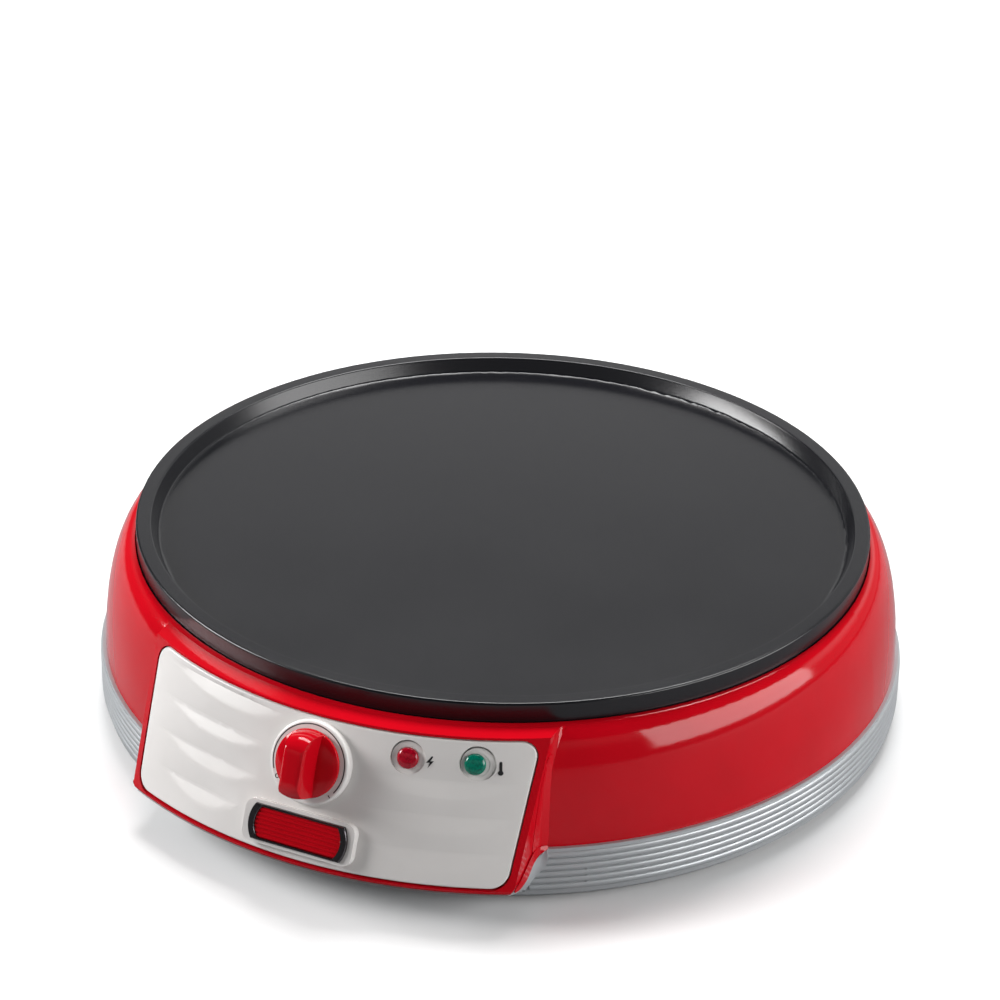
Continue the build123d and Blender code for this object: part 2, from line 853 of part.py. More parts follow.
with BuildPart() as base_ring:
    with BuildSketch(radial(90)):
        with BuildLine():
            Polyline(
                (flange_in_r, foot_h),
                (ring_wall_r - ring_edge, foot_h),
                (ring_wall_r, foot_h + ring_edge),
                (ring_wall_r, joint_z),
                (ring_in_r, joint_z),
                (ring_in_r, flange_z),
                (flange_in_r, flange_z),
                close=True,
            )
        make_face()
    revolve(axis=turn)
    for i in range(bead_count):
        bead_z = bead_top_z - i * bead_pitch
        with BuildSketch(radial(bead_end_angle)):
            with BuildLine():
                foot_low = (ring_wall_r, bead_z - bead_w / 2)
                foot_high = (ring_wall_r, bead_z + bead_w / 2)
                ThreePointArc(foot_low, (ring_r, bead_z), foot_high)
                Polyline(foot_high, (ring_wall_r - bead_h, bead_z), foot_low)
            make_face()
        revolve(axis=turn, revolution_arc=360 - 2 * bead_end_angle)
    add(chin.part)
    add(chin_hollow.part, mode=Mode.SUBTRACT)
    # flat pad at the back for the cord bush
    with BuildSketch(inlet.offset(-ring_wall - pad_stand)):
        Circle(pad_r)
    extrude(amount=ring_wall + pad_stand)
    with Locations(inlet):
        Hole(bush_r + bush_fit, 4 * ring_wall)
    # holes for the base screws and seats for the feet
    with Locations(*[looking_down(x, y, foot_h) for x, y in base_screws_at]):
        CounterBoreHole(m4_r + screw_free, m4_head_r + head_free, base_bore, 2 * flange_t)
    with BuildSketch(level(foot_h)):
        with Locations(*feet_at):
            Circle(foot_r)
    extrude(amount=foot_sink, mode=Mode.SUBTRACT)
base_ring.part.label = "base_ring"

with BuildPart() as rubber_feet:
    with BuildSketch(level(0)):
        with Locations(*feet_at):
            Circle(foot_r)
    extrude(amount=foot_h + foot_sink)
    chamfer(edges().group_by(Axis.Z)[0], foot_edge)
rubber_feet.part.label = "rubber_feet"

with BuildPart() as base_screws:
    for x, y in base_screws_at:
        add(pan_screw(looking_down(x, y, foot_h + base_bore), base_screw_shank, m4_r, m4_head_r, m4_head_h))
base_screws.part.label = "base_screws"

# ---------------------------------------------------------------- bottom cover

with BuildPart() as bottom_cover:
    with BuildSketch(level(flange_z)):
        Circle(cover_r)
        with PolarLocations(vent_pitch_r, vent_count, start_angle=vent_start):
            SlotOverall(vent_length, vent_w, mode=Mode.SUBTRACT)
    extrude(amount=cover_t)
    with BuildSketch(level(floor_z)):
        Circle(rib_ring_r + rib_t / 2)
        Circle(rib_ring_r - rib_t / 2, mode=Mode.SUBTRACT)
    extrude(amount=rib_h)
    with BuildSketch(level(flange_z)):
        with Locations(*plate_bosses):
            Circle(post_r)
    extrude(amount=post_top - flange_z)
    with BuildSketch(level(floor_z)):
        with Locations((-clamp_half, clamp_y), (clamp_half, clamp_y)):
            Circle(clamp_post_r)
    extrude(amount=clamp_seat_z - floor_z)
    with Locations(*[looking_down(x, y, flange_z) for x, y in plate_bosses]):
        CounterBoreHole(m4_r + screw_free, m4_head_r + head_free, plate_head_z - flange_z, post_top)
    with Locations(*[looking_down(x, y, flange_z) for x, y in base_screws_at]):
        Hole(m4_r + screw_free, 2 * cover_t)
    with Locations(*[looking_up(x, clamp_y, clamp_seat_z) for x in (-clamp_half, clamp_half)]):
        Hole(m3_r, clamp_screw_bite + 1)
    with Locations(*[looking_down(x, terminal_y, flange_z) for x in (-block_screw_x, block_screw_x)]):
        Hole(m3_r + screw_free, cover_t)
bottom_cover.part.label = "bottom_cover"


# ---------------------------------------------------------------- white control panel


post_bed = (face_depth(0, knob_z) - face_depth(bracket_screw_x + bracket_post_r, knob_z)) * cos(tilt)
post_length = bracket_drop - post_bed - post_root
panel_root = panel_t - post_root  # depth to which raised features run into the panel

with BuildPart() as lamp_bosses:
    for x, z in lamps_at:
        depth = recess_depth(x, z) + lamp_floor_t
        with BuildSketch(on_face(x, z, -depth)):
            Circle(lamp_boss_r)
        extrude(amount=depth + lamp_recess_r)
    add(
        sector(
            [
                (fairing_root_r, panel_low_z),
                (face_r(panel_low_z), panel_low_z),
                (face_r(face_top_z), face_top_z),
                (fairing_root_r, face_top_z),
            ]
        ),
        mode=Mode.INTERSECT,
    )

with BuildPart() as control_panel:
    add(
        sector(
            [
                (face_r(panel_low_z) - panel_back, panel_low_z),
                (face_r(panel_low_z), panel_low_z),
                (face_r(face_top_z), face_top_z),
                (face_r(face_top_z) - panel_back, face_top_z),
            ]
        )
    )
    add(panel_outline(0), mode=Mode.INTERSECT)
    front_face = faces().filter_by(GeomType.CONE).sort_by(Axis.Y)[0]
    fillet(front_face.edges(), panel_edge)
    # dial boss, hollow behind
    with BuildSketch(knob_face.offset(dial_proud)):
        Circle(dial_r)
    dial = extrude(amount=-dial_proud - panel_root)
    dial_rim = edges().filter_by(GeomType.CIRCLE).sort_by(Axis(knob_face.origin, knob_face.z_dir))[-1]
    fillet(dial_rim, dial_edge)
    with BuildSketch(knob_face.offset(dial_proud - panel_t)):
        Circle(dial_r - panel_t)
    extrude(amount=-dial_proud - panel_t, mode=Mode.SUBTRACT)
    # badge pad with a pocket for the frame
    with BuildSketch(badge_face):
        RectangleRounded(2 * pad_half, pad_h, pad_corner)
    extrude(amount=-pad_proud - panel_root)
    with BuildSketch(badge_face):
        make_face(badge_outline(frame_half + badge_fit, frame_waist + badge_fit, frame_h / 2 + badge_fit))
    extrude(amount=-frame_sink, mode=Mode.SUBTRACT)
    # lamp recesses
    add(lamp_bosses.part)
    for x, z in lamps_at:
        depth = recess_depth(x, z)
        with BuildSketch(on_face(x, z, -depth)):
            Circle(lamp_recess_r)
        extrude(amount=depth + lamp_recess_r, mode=Mode.SUBTRACT)
        with Locations(on_face(x, z, -depth)):
            Hole(stem_r + stem_fit, lamp_floor_t + panel_t)
    # shaft hole and posts for the thermostat's bracket
    with Locations(knob_face.offset(dial_proud)):
        Hole(shaft_r + shaft_free, dial_proud + panel_t)
    with BuildSketch(knob_face.offset(-bracket_drop)):
        with Locations((-bracket_screw_x, 0), (bracket_screw_x, 0)):
            Circle(bracket_post_r)
    extrude(amount=post_length)
    with Locations(*[into_body(x, 0, bracket_drop) for x in (-bracket_screw_x, bracket_screw_x)]):
        Hole(m3_r, bracket_screw_bite + thread_fit)
    # snap hooks
    for side in (-1, 1):
        for z in hook_heights:
            x = half_at(z) - panel_ledge - hook_gap - hook_t / 2
            tip_x = x + hook_t / 2 + hook_gap + hook_bite
            fall = (face_depth(x, z) - face_depth(tip_x, z)) * cos(tilt)
            barb_depth = fall + ledge_depth(tip_x, z) + hook_gap
            with BuildSketch(on_face(side * x, z, -barb_depth - hook_barb)):
                Rectangle(hook_t, hook_w)
            extrude(amount=barb_depth + hook_barb - panel_root)
            with BuildSketch(on_face(side * x, z, -barb_depth - hook_barb)):
                with Locations((side * (tip_x - x) / 2, 0)):
                    Rectangle(tip_x - x, hook_w)
            extrude(amount=hook_barb)
control_panel.part.label = "control_panel"

# ---------------------------------------------------------------- badge

with BuildPart() as badge_frame:
    with BuildSketch(badge_face.offset(-frame_sink)):
        make_face(badge_outline(frame_half, frame_waist, frame_h / 2))
        opening = badge_outline(frame_half - frame_end, frame_waist - frame_end, frame_h / 2 - frame_bar)
        make_face(opening, mode=Mode.SUBTRACT)
    extrude(amount=frame_sink + frame_proud)
    frame_top = faces().sort_by(Axis(badge_face.origin, badge_face.z_dir))[-1]
    chamfer(frame_top.edges(), frame_bar / 4)
badge_frame.part.label = "badge_frame"

with BuildPart() as badge_insert:
    insert_half = frame_half - frame_end - badge_fit
    insert_waist = frame_waist - frame_end - badge_fit
    insert_high = frame_h / 2 - frame_bar - badge_fit
    insert_face = badge_face.offset(frame_proud - insert_drop - insert_rib_h)
    with BuildSketch(insert_face):
        make_face(badge_outline(insert_half, insert_waist, insert_high))
    extrude(amount=insert_drop + insert_rib_h - frame_proud - frame_sink)
    with BuildSketch(insert_face):
        rib_pitch = 2 * insert_high / insert_rib_count
        with GridLocations(0, rib_pitch, 1, insert_rib_count):
            Rectangle(2 * insert_half, rib_pitch / 2)
        make_face(badge_outline(insert_half, insert_waist, insert_high), mode=Mode.INTERSECT)
    extrude(amount=insert_rib_h)
badge_insert.part.label = "badge_insert"

# ---------------------------------------------------------------- signal lamps


def lamp_lens(x, z, label):
    """Domed jewel on a lamp recess's floor, with a stem through the floor."""
    floor = on_face(x, z, -recess_depth(x, z))
    dome_r = (lens_r**2 + lens_rise**2) / (2 * lens_rise)
    with BuildPart() as lens:
        with BuildSketch(floor):
            Circle(lens_r)
        extrude(amount=lens_rise)
        with Locations(floor.offset(lens_rise - dome_r)):
            Sphere(dome_r, mode=Mode.INTERSECT)
        with BuildSketch(floor):
            Circle(stem_r)
        extrude(amount=-lamp_floor_t - stem_in_socket)
    lens.part.label = label
    return lens


power_lamp_lens = lamp_lens(power_x, power_z, "power_lamp_lens")
heat_lamp_lens = lamp_lens(heat_x, heat_z, "heat_lamp_lens")

with BuildPart() as lamp_sockets:
    for x, z in lamps_at:
        socket_face = on_face(x, z, -recess_depth(x, z) - lamp_floor_t)
        lead_spots = [socket_face * Pos(shift, 0, 0) for shift in (-lamp_lead_gap, lamp_lead_gap)]
        with BuildSketch(socket_face):
            Circle(socket_r)
        extrude(amount=-socket_length)
        with Locations(socket_face):
            Hole(stem_r + stem_fit, stem_in_socket)
            Hole(neon_r + touch, stem_in_socket + neon_length)
        with Locations(*lead_spots):
            Hole(lamp_lead_r + lead_fit, socket_length)
lamp_sockets.part.label = "lamp_sockets"

with BuildPart() as neon_lamps:
    for x, z in lamps_at:
        neon_face = on_face(x, z, -recess_depth(x, z) - lamp_floor_t - stem_in_socket)
        with BuildSketch(neon_face):
            Circle(neon_r)
        extrude(amount=-neon_length)
neon_lamps.part.label = "neon_lamps"

# ---------------------------------------------------------------- knob and thermostat

knob_back = dial_proud + knob_gap
knob_top = knob_back + knob_flange_t + grip_h
spring_low = shaft_flat + spring_fit
spring_high = spring_low + spring_t
shaft_tip = knob_back + shaft_in_knob
collar_depth = bracket_back + chamber_start + touch
shaft_end = collar_depth + collar_t
grip_low = knob_back + knob_flange_t / 2
grip_side = Plane(knob_face.origin, x_dir=knob_face.y_dir, z_dir=(1, 0, 0))
grip_end = Plane(knob_face.origin, x_dir=(1, 0, 0), z_dir=-knob_face.y_dir)

with BuildPart() as grip:
    with BuildSketch(grip_side):
        with BuildLine():
            Polyline(
                (-knob_r, grip_low),
                (knob_r, grip_low),
                (knob_r, knob_back + knob_flange_t),
                (grip_half, knob_top),
                (-grip_half, knob_top),
                (-knob_r, knob_back + knob_flange_t),
                close=True,
            )
        make_face()
        fillet(vertices().group_by(Axis.Y)[-1], grip_edge)
    extrude(amount=grip_w / 2, both=True)
    with BuildSketch(grip_end):
        with BuildLine():
            Polyline(
                (-grip_w / 2, grip_low),
                (grip_w / 2, grip_low),
                (grip_w / 2, knob_back + knob_flange_t),
                (grip_top_w / 2, knob_top),
                (-grip_top_w / 2, knob_top),
                (-grip_w / 2, knob_back + knob_flange_t),
                close=True,
            )
        make_face()
        fillet(vertices().group_by(Axis.Y)[-1], grip_edge)
    extrude(amount=knob_r, both=True, mode=Mode.INTERSECT)
    with BuildSketch(knob_face):
        Circle(knob_r)
    extrude(amount=knob_top, mode=Mode.INTERSECT)

with BuildPart() as control_knob:
    with BuildSketch(knob_face.offset(knob_back)):
        Circle(knob_r)
    extrude(amount=knob_flange_t)
    fillet(edges().group_by(Axis(knob_face.origin, knob_face.z_dir))[-1], knob_dome)
    add(grip.part)
    with BuildSketch(knob_face.offset(knob_back)):
        Circle(knob_hollow_r)
        Circle(hub_r, mode=Mode.SUBTRACT)
    extrude(amount=knob_hollow, mode=Mode.SUBTRACT)
    with BuildSketch(knob_face.offset(knob_back)):
        Circle(shaft_r + shaft_fit)
        with Locations((0, spring_high + spring_fit + shaft_r)):
            Rectangle(2 * knob_r, 2 * shaft_r, mode=Mode.SUBTRACT)
    extrude(amount=shaft_in_knob + knob_gap, mode=Mode.SUBTRACT)
control_knob.part.label = "control_knob"

with BuildPart() as thermostat_shaft:
    with BuildSketch(knob_face.offset(shaft_tip)):
        Circle(shaft_r)
    extrude(amount=-shaft_tip - shaft_end)
    with BuildSketch(knob_face.offset(-collar_depth)):
        Circle(collar_r)
    extrude(amount=-collar_t)
    with BuildSketch(knob_face.offset(shaft_tip)):
        with Locations((0, shaft_flat + shaft_r)):
            Rectangle(2 * shaft_r, 2 * shaft_r)
    extrude(amount=-shaft_flat_length, mode=Mode.SUBTRACT)
thermostat_shaft.part.label = "thermostat_shaft"

with BuildPart() as knob_spring:
    with BuildSketch(knob_face.offset(shaft_tip - spring_fit)):
        with Locations((0, (spring_low + spring_high) / 2)):
            Rectangle(spring_w, spring_t)
    extrude(amount=-spring_length)
knob_spring.part.label = "knob_spring"

tab_columns = (-thermostat_tab_x, thermostat_tab_x)
tab_spots = [(x, up) for x in tab_columns for up in (thermostat_tab_high, thermostat_tab_low)]
thermostat_screw_spots = (-thermostat_screw_x, thermostat_screw_x)
bracket_screw_spots = (-bracket_screw_x, bracket_screw_x)
chamber_depth = bracket_back + chamber_start

with BuildPart() as thermostat_body:
    with BuildSketch(into_body(0, 0, bracket_back)):
        Rectangle(thermostat_w, thermostat_h)
    extrude(amount=thermostat_d)
    fillet(edges().filter_by(Axis(knob_face.origin, knob_face.z_dir)), knob_dome)
    with BuildSketch(out_of_body(0, 0, bracket_back)):
        Circle(bushing_r)
    extrude(amount=bushing_h)
    with Locations(out_of_body(0, 0, bracket_back - bushing_h)):
        Hole(shaft_r + shaft_fit, bushing_h + chamber_start)
        Hole(pusher_r + shaft_fit, thermostat_back)
    with BuildSketch(into_body(0, 0, chamber_depth)):
        Circle(chamber_r)
    extrude(amount=chamber_d, mode=Mode.SUBTRACT)
    with Locations(*[out_of_body(x, 0, bracket_back) for x in thermostat_screw_spots]):
        Hole(m3_r, thermostat_screw_bite + thread_fit)
    for x, up in tab_spots:
        with BuildSketch(out_of_body(x, up, thermostat_back)):
            Rectangle(tab_w, tab_t)
        extrude(amount=tab_root, mode=Mode.SUBTRACT)
thermostat_body.part.label = "thermostat_body"

with BuildPart() as thermostat_pusher:
    with BuildSketch(into_body(0, 0, shaft_end + pusher_gap)):
        Circle(pusher_r)
    extrude(amount=pusher_length)
thermostat_pusher.part.label = "thermostat_pusher"

with BuildPart() as thermostat_tabs:
    for x, up in tab_spots:
        with BuildSketch(into_body(x, up, thermostat_back - tab_root)):
            Rectangle(tab_w, tab_t)
        extrude(amount=tab_root + tab_length)
thermostat_tabs.part.label = "thermostat_tabs"

with BuildPart() as thermostat_bracket:
    with BuildSketch(into_body(0, 0, bracket_drop)):
        RectangleRounded(bracket_w, bracket_h, knob_dome)
        Circle(bushing_r + touch, mode=Mode.SUBTRACT)
        with Locations(*[(x, 0) for x in thermostat_screw_spots + bracket_screw_spots]):
            Circle(m3_r + screw_free, mode=Mode.SUBTRACT)
    extrude(amount=bracket_t)
thermostat_bracket.part.label = "thermostat_bracket"

with BuildPart() as thermostat_screws:
    for x in thermostat_screw_spots:
        seat = out_of_body(x, 0, bracket_drop)
        add(pan_screw(seat, bracket_t + thermostat_screw_bite, m3_r, m3_head_r, m3_head_h))
thermostat_screws.part.label = "thermostat_screws"

with BuildPart() as bracket_screws:
    for x in bracket_screw_spots:
        seat = into_body(x, 0, bracket_back)
        add(pan_screw(seat, bracket_t + bracket_screw_bite, m3_r, m3_head_r, m3_head_h))
bracket_screws.part.label = "bracket_screws"

# ---------------------------------------------------------------- heating element

leg_x = element_r * sin(radians(element_gap_angle)) - element_bend * cos(radians(element_gap_angle))
leg_y = element_r * cos(radians(element_gap_angle)) + element_bend * sin(radians(element_gap_angle))
leg_end_z = element_z - element_bend - element_leg

with BuildPart() as heating_element:
    with BuildLine() as element_path:
        with BuildLine(level(element_z)):
            ring_arc = CenterArc((0, 0), element_r, 90 + element_gap_angle, 360 - 2 * element_gap_angle)
        for end, way in ((ring_arc @ 1, ring_arc % 1), (ring_arc @ 0, -(ring_arc % 0))):
            corner = end + way * element_bend
            below = corner - Vector(0, 0, element_bend)
            bend_centre = end - Vector(0, 0, element_bend)
            bend_middle = bend_centre + (way + Vector(0, 0, 1)).normalized() * element_bend
            ThreePointArc(end, bend_middle, below)
            Line(below, below - Vector(0, 0, element_leg))
    with BuildSketch(Plane(at(leg_x, leg_y, leg_end_z))):
        Circle(tube_r)
    sweep(path=element_path.wires()[0])
    with Locations(*[looking_down(x, leg_y, leg_end_z) for x in (-leg_x, leg_x)]):
        Hole(pin_r, tab_root)
heating_element.part.label = "heating_element"

with BuildPart() as element_tabs:
    for x in (-leg_x, leg_x):
        with BuildSketch(looking_down(x, leg_y, leg_end_z)):
            Rectangle(tab_w, tab_t)
        extrude(amount=tab_length)
        with BuildSketch(looking_down(x, leg_y, leg_end_z)):
            Circle(pin_r)
        extrude(amount=-tab_root)
element_tabs.part.label = "element_tabs"

with BuildPart() as element_clips:
    for x, y, across in clip_spots:
        add(hanging_clip(x, y, element_z, across, tube_r, 0))
element_clips.part.label = "element_clips"


def clip_screws(spots, face_z, bite, label):
    """Screws that hold hanging clips, with their heads below."""
    with BuildPart() as screws:
        for x, y in spots:
            seat = looking_down(x, y, face_z - clip_t)
            add(pan_screw(seat, clip_t + bite, m3_r, m3_head_r, m3_head_h))
    screws.part.label = label
    return screws


element_clip_screws = clip_screws(element_clip_holes, element_z, element_screw_bite, "element_clip_screws")
bulb_clip_screws = clip_screws(bulb_clip_holes, plate_under, plate_clip_bite, "bulb_clip_screws")
fuse_clip_screws = clip_screws(fuse_clip_holes, plate_under, plate_clip_bite, "fuse_clip_screws")

# ---------------------------------------------------------------- reflector and its screws

lead_holes_at = [(-fuse_lead_x, fuse_y), (fuse_lead_x, fuse_y), (earth_x, earth_down_y)]

with BuildPart() as heat_reflector:
    dish_r = reflector_r - reflector_t
    top_r = reflector_r + reflector_flare
    rim_z = reflector_z + reflector_rim_h
    with BuildSketch(radial(90)):
        with BuildLine():
            Polyline(
                (0, reflector_z),
                (reflector_r, reflector_z),
                (top_r, rim_z),
                (top_r - reflector_t, rim_z),
                (dish_r, boss_low_z),
                (0, boss_low_z),
                close=True,
            )
        make_face()
    revolve(axis=turn)
    with Locations(*[looking_down(x, y, reflector_z) for x, y in plate_bosses]):
        Hole(m4_r + screw_free, 2 * reflector_t)
    with Locations(*[looking_down(x, leg_y, reflector_z) for x in (-leg_x, leg_x)]):
        Hole(leg_hole_r, 2 * reflector_t)
    with Locations(looking_down(capillary_x, bulb_y, reflector_z)):
        Hole(capillary_hole_r, 2 * reflector_t)
    with Locations(*[looking_down(x, y, reflector_z) for x, y in lead_holes_at]):
        Hole(lead_hole_r, 2 * reflector_t)
heat_reflector.part.label = "heat_reflector"

with BuildPart() as plate_spacers:
    with BuildSketch(level(post_top)):
        with Locations(*plate_bosses):
            Circle(spacer_r)
            Circle(m4_r + screw_free, mode=Mode.SUBTRACT)
    extrude(amount=spacer_h)
plate_spacers.part.label = "plate_spacers"

with BuildPart() as plate_screws:
    for x, y in plate_bosses:
        seat = looking_down(x, y, plate_head_z)
        shank = boss_low_z + plate_screw_bite - plate_head_z
        add(pan_screw(seat, shank, m4_r, m4_head_r, m4_head_h))
plate_screws.part.label = "plate_screws"

# ---------------------------------------------------------------- sensor and fuse

bulb_z = plate_under - bulb_r - touch
fuse_z = plate_under - fuse_r - touch

with BuildPart() as sensor_bulb:
    with BuildSketch(Plane(at(-bulb_length / 2, bulb_y, bulb_z), z_dir=(1, 0, 0))):
        Circle(bulb_r)
    extrude(amount=bulb_length)
    fillet(edges(), bulb_r / 2)
sensor_bulb.part.label = "sensor_bulb"

with BuildPart() as capillary_tube:
    entry = behind_knob(0, capillary_up, thermostat_back)
    add(
        lead(
            [
                at(bulb_length / 2, bulb_y, bulb_z),
                at(capillary_x, bulb_y, bulb_z),
                at(capillary_x, bulb_y, high_route_z + capillary_rise),
                at(*capillary_low),
                behind_knob(0, capillary_up, thermostat_back + tab_run),
                entry,
            ],
            capillary_r,
        )
    )
capillary_tube.part.label = "capillary_tube"

with BuildPart() as bulb_clip:
    add(hanging_clip(0, bulb_y, plate_under, 90, bulb_r, bulb_r + touch))
bulb_clip.part.label = "bulb_clip"

with BuildPart() as thermal_fuse:
    with BuildSketch(Plane(at(-fuse_length / 2, fuse_y, fuse_z), z_dir=(1, 0, 0))):
        Circle(fuse_r)
    extrude(amount=fuse_length)
thermal_fuse.part.label = "thermal_fuse"

with BuildPart() as fuse_clip:
    add(hanging_clip(0, fuse_y, plate_under, 90, fuse_r, fuse_r + touch))
fuse_clip.part.label = "fuse_clip"

# ---------------------------------------------------------------- mains inlet

with BuildPart() as cord_bush:
    wall = ring_r + pad_stand - sqrt(ring_in_r**2 - bush_inner_r**2)
    with BuildSketch(inlet):
        Circle(bush_flange_r)
    extrude(amount=bush_flange_t)
    chamfer(edges().group_by(Axis.Y)[-1], bush_flange_t / 4)
    with BuildSketch(inlet):
        Circle(bush_r)
    extrude(amount=-wall - bush_inner_t - bush_fit)
    with BuildSketch(inlet.offset(-wall - bush_fit)):
        Circle(bush_inner_r)
    extrude(amount=-bush_inner_t)
    with Locations(inlet.offset(bush_flange_t)):
        Hole(cord_bore_r, 2 * bush_flange_t + 2 * wall)
cord_bush.part.label = "cord_bush"

with BuildPart() as cord_clamp:
    with BuildSketch(looking_up(0, clamp_y, clamp_seat_z)):
        SlotOverall(2 * (clamp_half + clamp_post_r), clamp_d)
        with Locations((-clamp_half, 0), (clamp_half, 0)):
            Circle(m3_r + screw_free, mode=Mode.SUBTRACT)
    extrude(amount=clamp_t)
cord_clamp.part.label = "cord_clamp"

with BuildPart() as clamp_screws:
    for x in (-clamp_half, clamp_half):
        seat = looking_up(x, clamp_y, clamp_seat_z + clamp_t)
        add(pan_screw(seat, clamp_t + clamp_screw_bite, m3_r, m3_head_r, m3_head_h))
clamp_screws.part.label = "clamp_screws"

pole_screw_spots = [(x, terminal_y + side * pole_screw_y) for x in poles_x for side in (-1, 1)]

with BuildPart() as terminal_block:
    with BuildSketch(looking_up(0, terminal_y, floor_z)):
        Rectangle(terminal_w, terminal_d)
    extrude(amount=terminal_h)
    chamfer(edges().group_by(Axis.Z)[-1], pole_screw_head_h)
    front = Plane(at(0, terminal_front, pole_z), x_dir=(1, 0, 0), z_dir=(0, -1, 0))
    back = Plane(at(0, terminal_front + terminal_d, pole_z), x_dir=(1, 0, 0), z_dir=(0, 1, 0))
    with Locations(*[front * Pos(x, 0, 0) for x in poles_x]):
        Hole(lead_r + lead_fit, lead_bite + lead_fit)
    with Locations(*[back * Pos(x, 0, 0) for x in poles_x]):
        Hole(pole_r, lead_bite)
    with Locations(*[looking_up(x, y, terminal_top) for x, y in pole_screw_spots]):
        Hole(pole_screw_r, terminal_h - pole_up)
    with Locations(*[looking_down(x, terminal_y, floor_z) for x in (-block_screw_x, block_screw_x)]):
        Hole(m3_r, block_screw_bite + thread_fit)
terminal_block.part.label = "terminal_block"

with BuildPart() as pole_screws:
    for x, y in pole_screw_spots:
        seat = looking_up(x, y, terminal_top)
        shank = terminal_h - pole_up - lead_r - lead_fit
        add(pan_screw(seat, shank, pole_screw_r, pole_screw_head_r, pole_screw_head_h))
pole_screws.part.label = "pole_screws"

with BuildPart() as block_screws:
    for x in (-block_screw_x, block_screw_x):
        seat = looking_down(x, terminal_y, flange_z)
        add(pan_screw(seat, cover_t + block_screw_bite, m3_r, m3_head_r, m3_head_h))
block_screws.part.label = "block_screws"

# ---------------------------------------------------------------- earth point

barrel_r = lead_r + clip_t
barrel_z = element_z - lug_t - barrel_r + clip_t

with BuildPart() as earth_lug:
    with BuildSketch(looking_down(earth_x, earth_y, element_z)):
        Circle(lug_w / 2)
        with Locations((0, -lug_length / 2)):
            Rectangle(2 * barrel_r, lug_length)
    extrude(amount=lug_t)
    barrel_face = Plane(at(earth_x, earth_y + lug_length, barrel_z), x_dir=(1, 0, 0), z_dir=(0, -1, 0))
    with BuildSketch(barrel_face):
        Circle(barrel_r)
    extrude(amount=lug_w / 2)
    with Locations(barrel_face.offset(lug_w / 2), barrel_face):
        Hole(lead_r, lug_w)
    with Locations(looking_down(earth_x, earth_y, element_z - lug_t)):
        Hole(m4_r + screw_free, 2 * lug_t)
earth_lug.part.label = "earth_lug"

with BuildPart() as earth_screw:
    seat = looking_down(earth_x, earth_y, element_z - lug_t)
    add(pan_screw(seat, lug_t + earth_screw_bite, m4_r, m4_head_r, m4_head_h))
earth_screw.part.label = "earth_screw"

# ---------------------------------------------------------------- leads and their sleeves


def sleeve(plane):
    """Insulated receptacle pushed onto a tab that stands on the plane, bored for its lead."""
    with BuildPart() as receptacle:
        with BuildSketch(plane):
            Rectangle(tab_w + 2 * sleeve_wall, sleeve_h)
        extrude(amount=sleeve_length)
        with BuildSketch(plane):
            Rectangle(tab_w, tab_t)
        extrude(amount=tab_length, mode=Mode.SUBTRACT)
        with BuildSketch(plane):
            Circle(lead_r)
        extrude(amount=sleeve_length, mode=Mode.SUBTRACT)
    return receptacle.part


def tab_end(x, up):
    """Route points in and straight out of the sleeve on a thermostat tab."""
    inside = behind_knob(x, up, thermostat_back + tab_length)
    return [inside, behind_knob(x, up, sleeve_end + tab_run)]


def leg_end(x):
    """Route points straight up into the sleeve on an element tab."""
    low = leg_end_z - sleeve_length - tab_run / 2
    return [at(x, leg_y, low), at(x, leg_y, leg_end_z - tab_length)]


def pole_end(pole):
    """Route points straight into a terminal's bore."""
    x = poles_x[pole]
    return [at(x, terminal_front - tab_run, pole_z), at(x, terminal_front + lead_bite, pole_z)]


def lamp_end(x, z, side):
    """Route points in and straight out of a lamp socket."""
    depth = recess_depth(x, z) + lamp_floor_t + socket_length
    start = behind(x, z, depth - lamp_lead_bite)
    shift = side * lamp_lead_gap
    return [start.from_local_coords((shift, 0, 0)), start.from_local_coords((shift, 0, tab_run))]


with BuildPart() as receptacles:
    for x, up in tab_spots:
        add(sleeve(into_body(x, up, thermostat_back)))
    for x in (-leg_x, leg_x):
        add(sleeve(looking_down(x, leg_y, leg_end_z)))
receptacles.part.label = "receptacles"

def fuse_end(side):
    """Route points from one end of the fuse, outward and down through the reflector."""
    turn_down = at(side * fuse_lead_x, fuse_y, fuse_z)
    low = at(side * fuse_lead_x, fuse_y, high_route_z)
    return [at(side * fuse_length / 2, fuse_y, fuse_z), turn_down, low]


line_x = poles_x[0]

with BuildPart() as line_wire:
    route = [at(line_x, -boss_pitch_r, low_route_z), at(line_x, boss_pitch_r, low_route_z)]
    route = tab_end(-thermostat_tab_x, thermostat_tab_high) + route + pole_end(0)
    add(lead(route, lead_r))
line_wire.part.label = "line_wire"

with BuildPart() as load_wire:
    route = [at(-thermostat_tab_x, -boss_pitch_r, low_route_z), at(-fuse_lead_x, 0, high_route_z)]
    route = tab_end(-thermostat_tab_x, thermostat_tab_low) + route + fuse_end(-1)[::-1]
    add(lead(route, lead_r))
    add(lead(fuse_end(1) + leg_end(leg_x), lead_r))
load_wire.part.label = "load_wire"

with BuildPart() as neutral_wire:
    add(lead(leg_end(-leg_x)[::-1] + pole_end(2), lead_r))
neutral_wire.part.label = "neutral_wire"

with BuildPart() as earth_wire:
    route = [
        at(earth_x, earth_y + lug_length - lug_w / 4, barrel_z),
        at(earth_x, earth_down_y, barrel_z),
        at(earth_x, earth_down_y, low_route_z),
    ]
    add(lead(route + pole_end(1), lead_r))
earth_wire.part.label = "earth_wire"

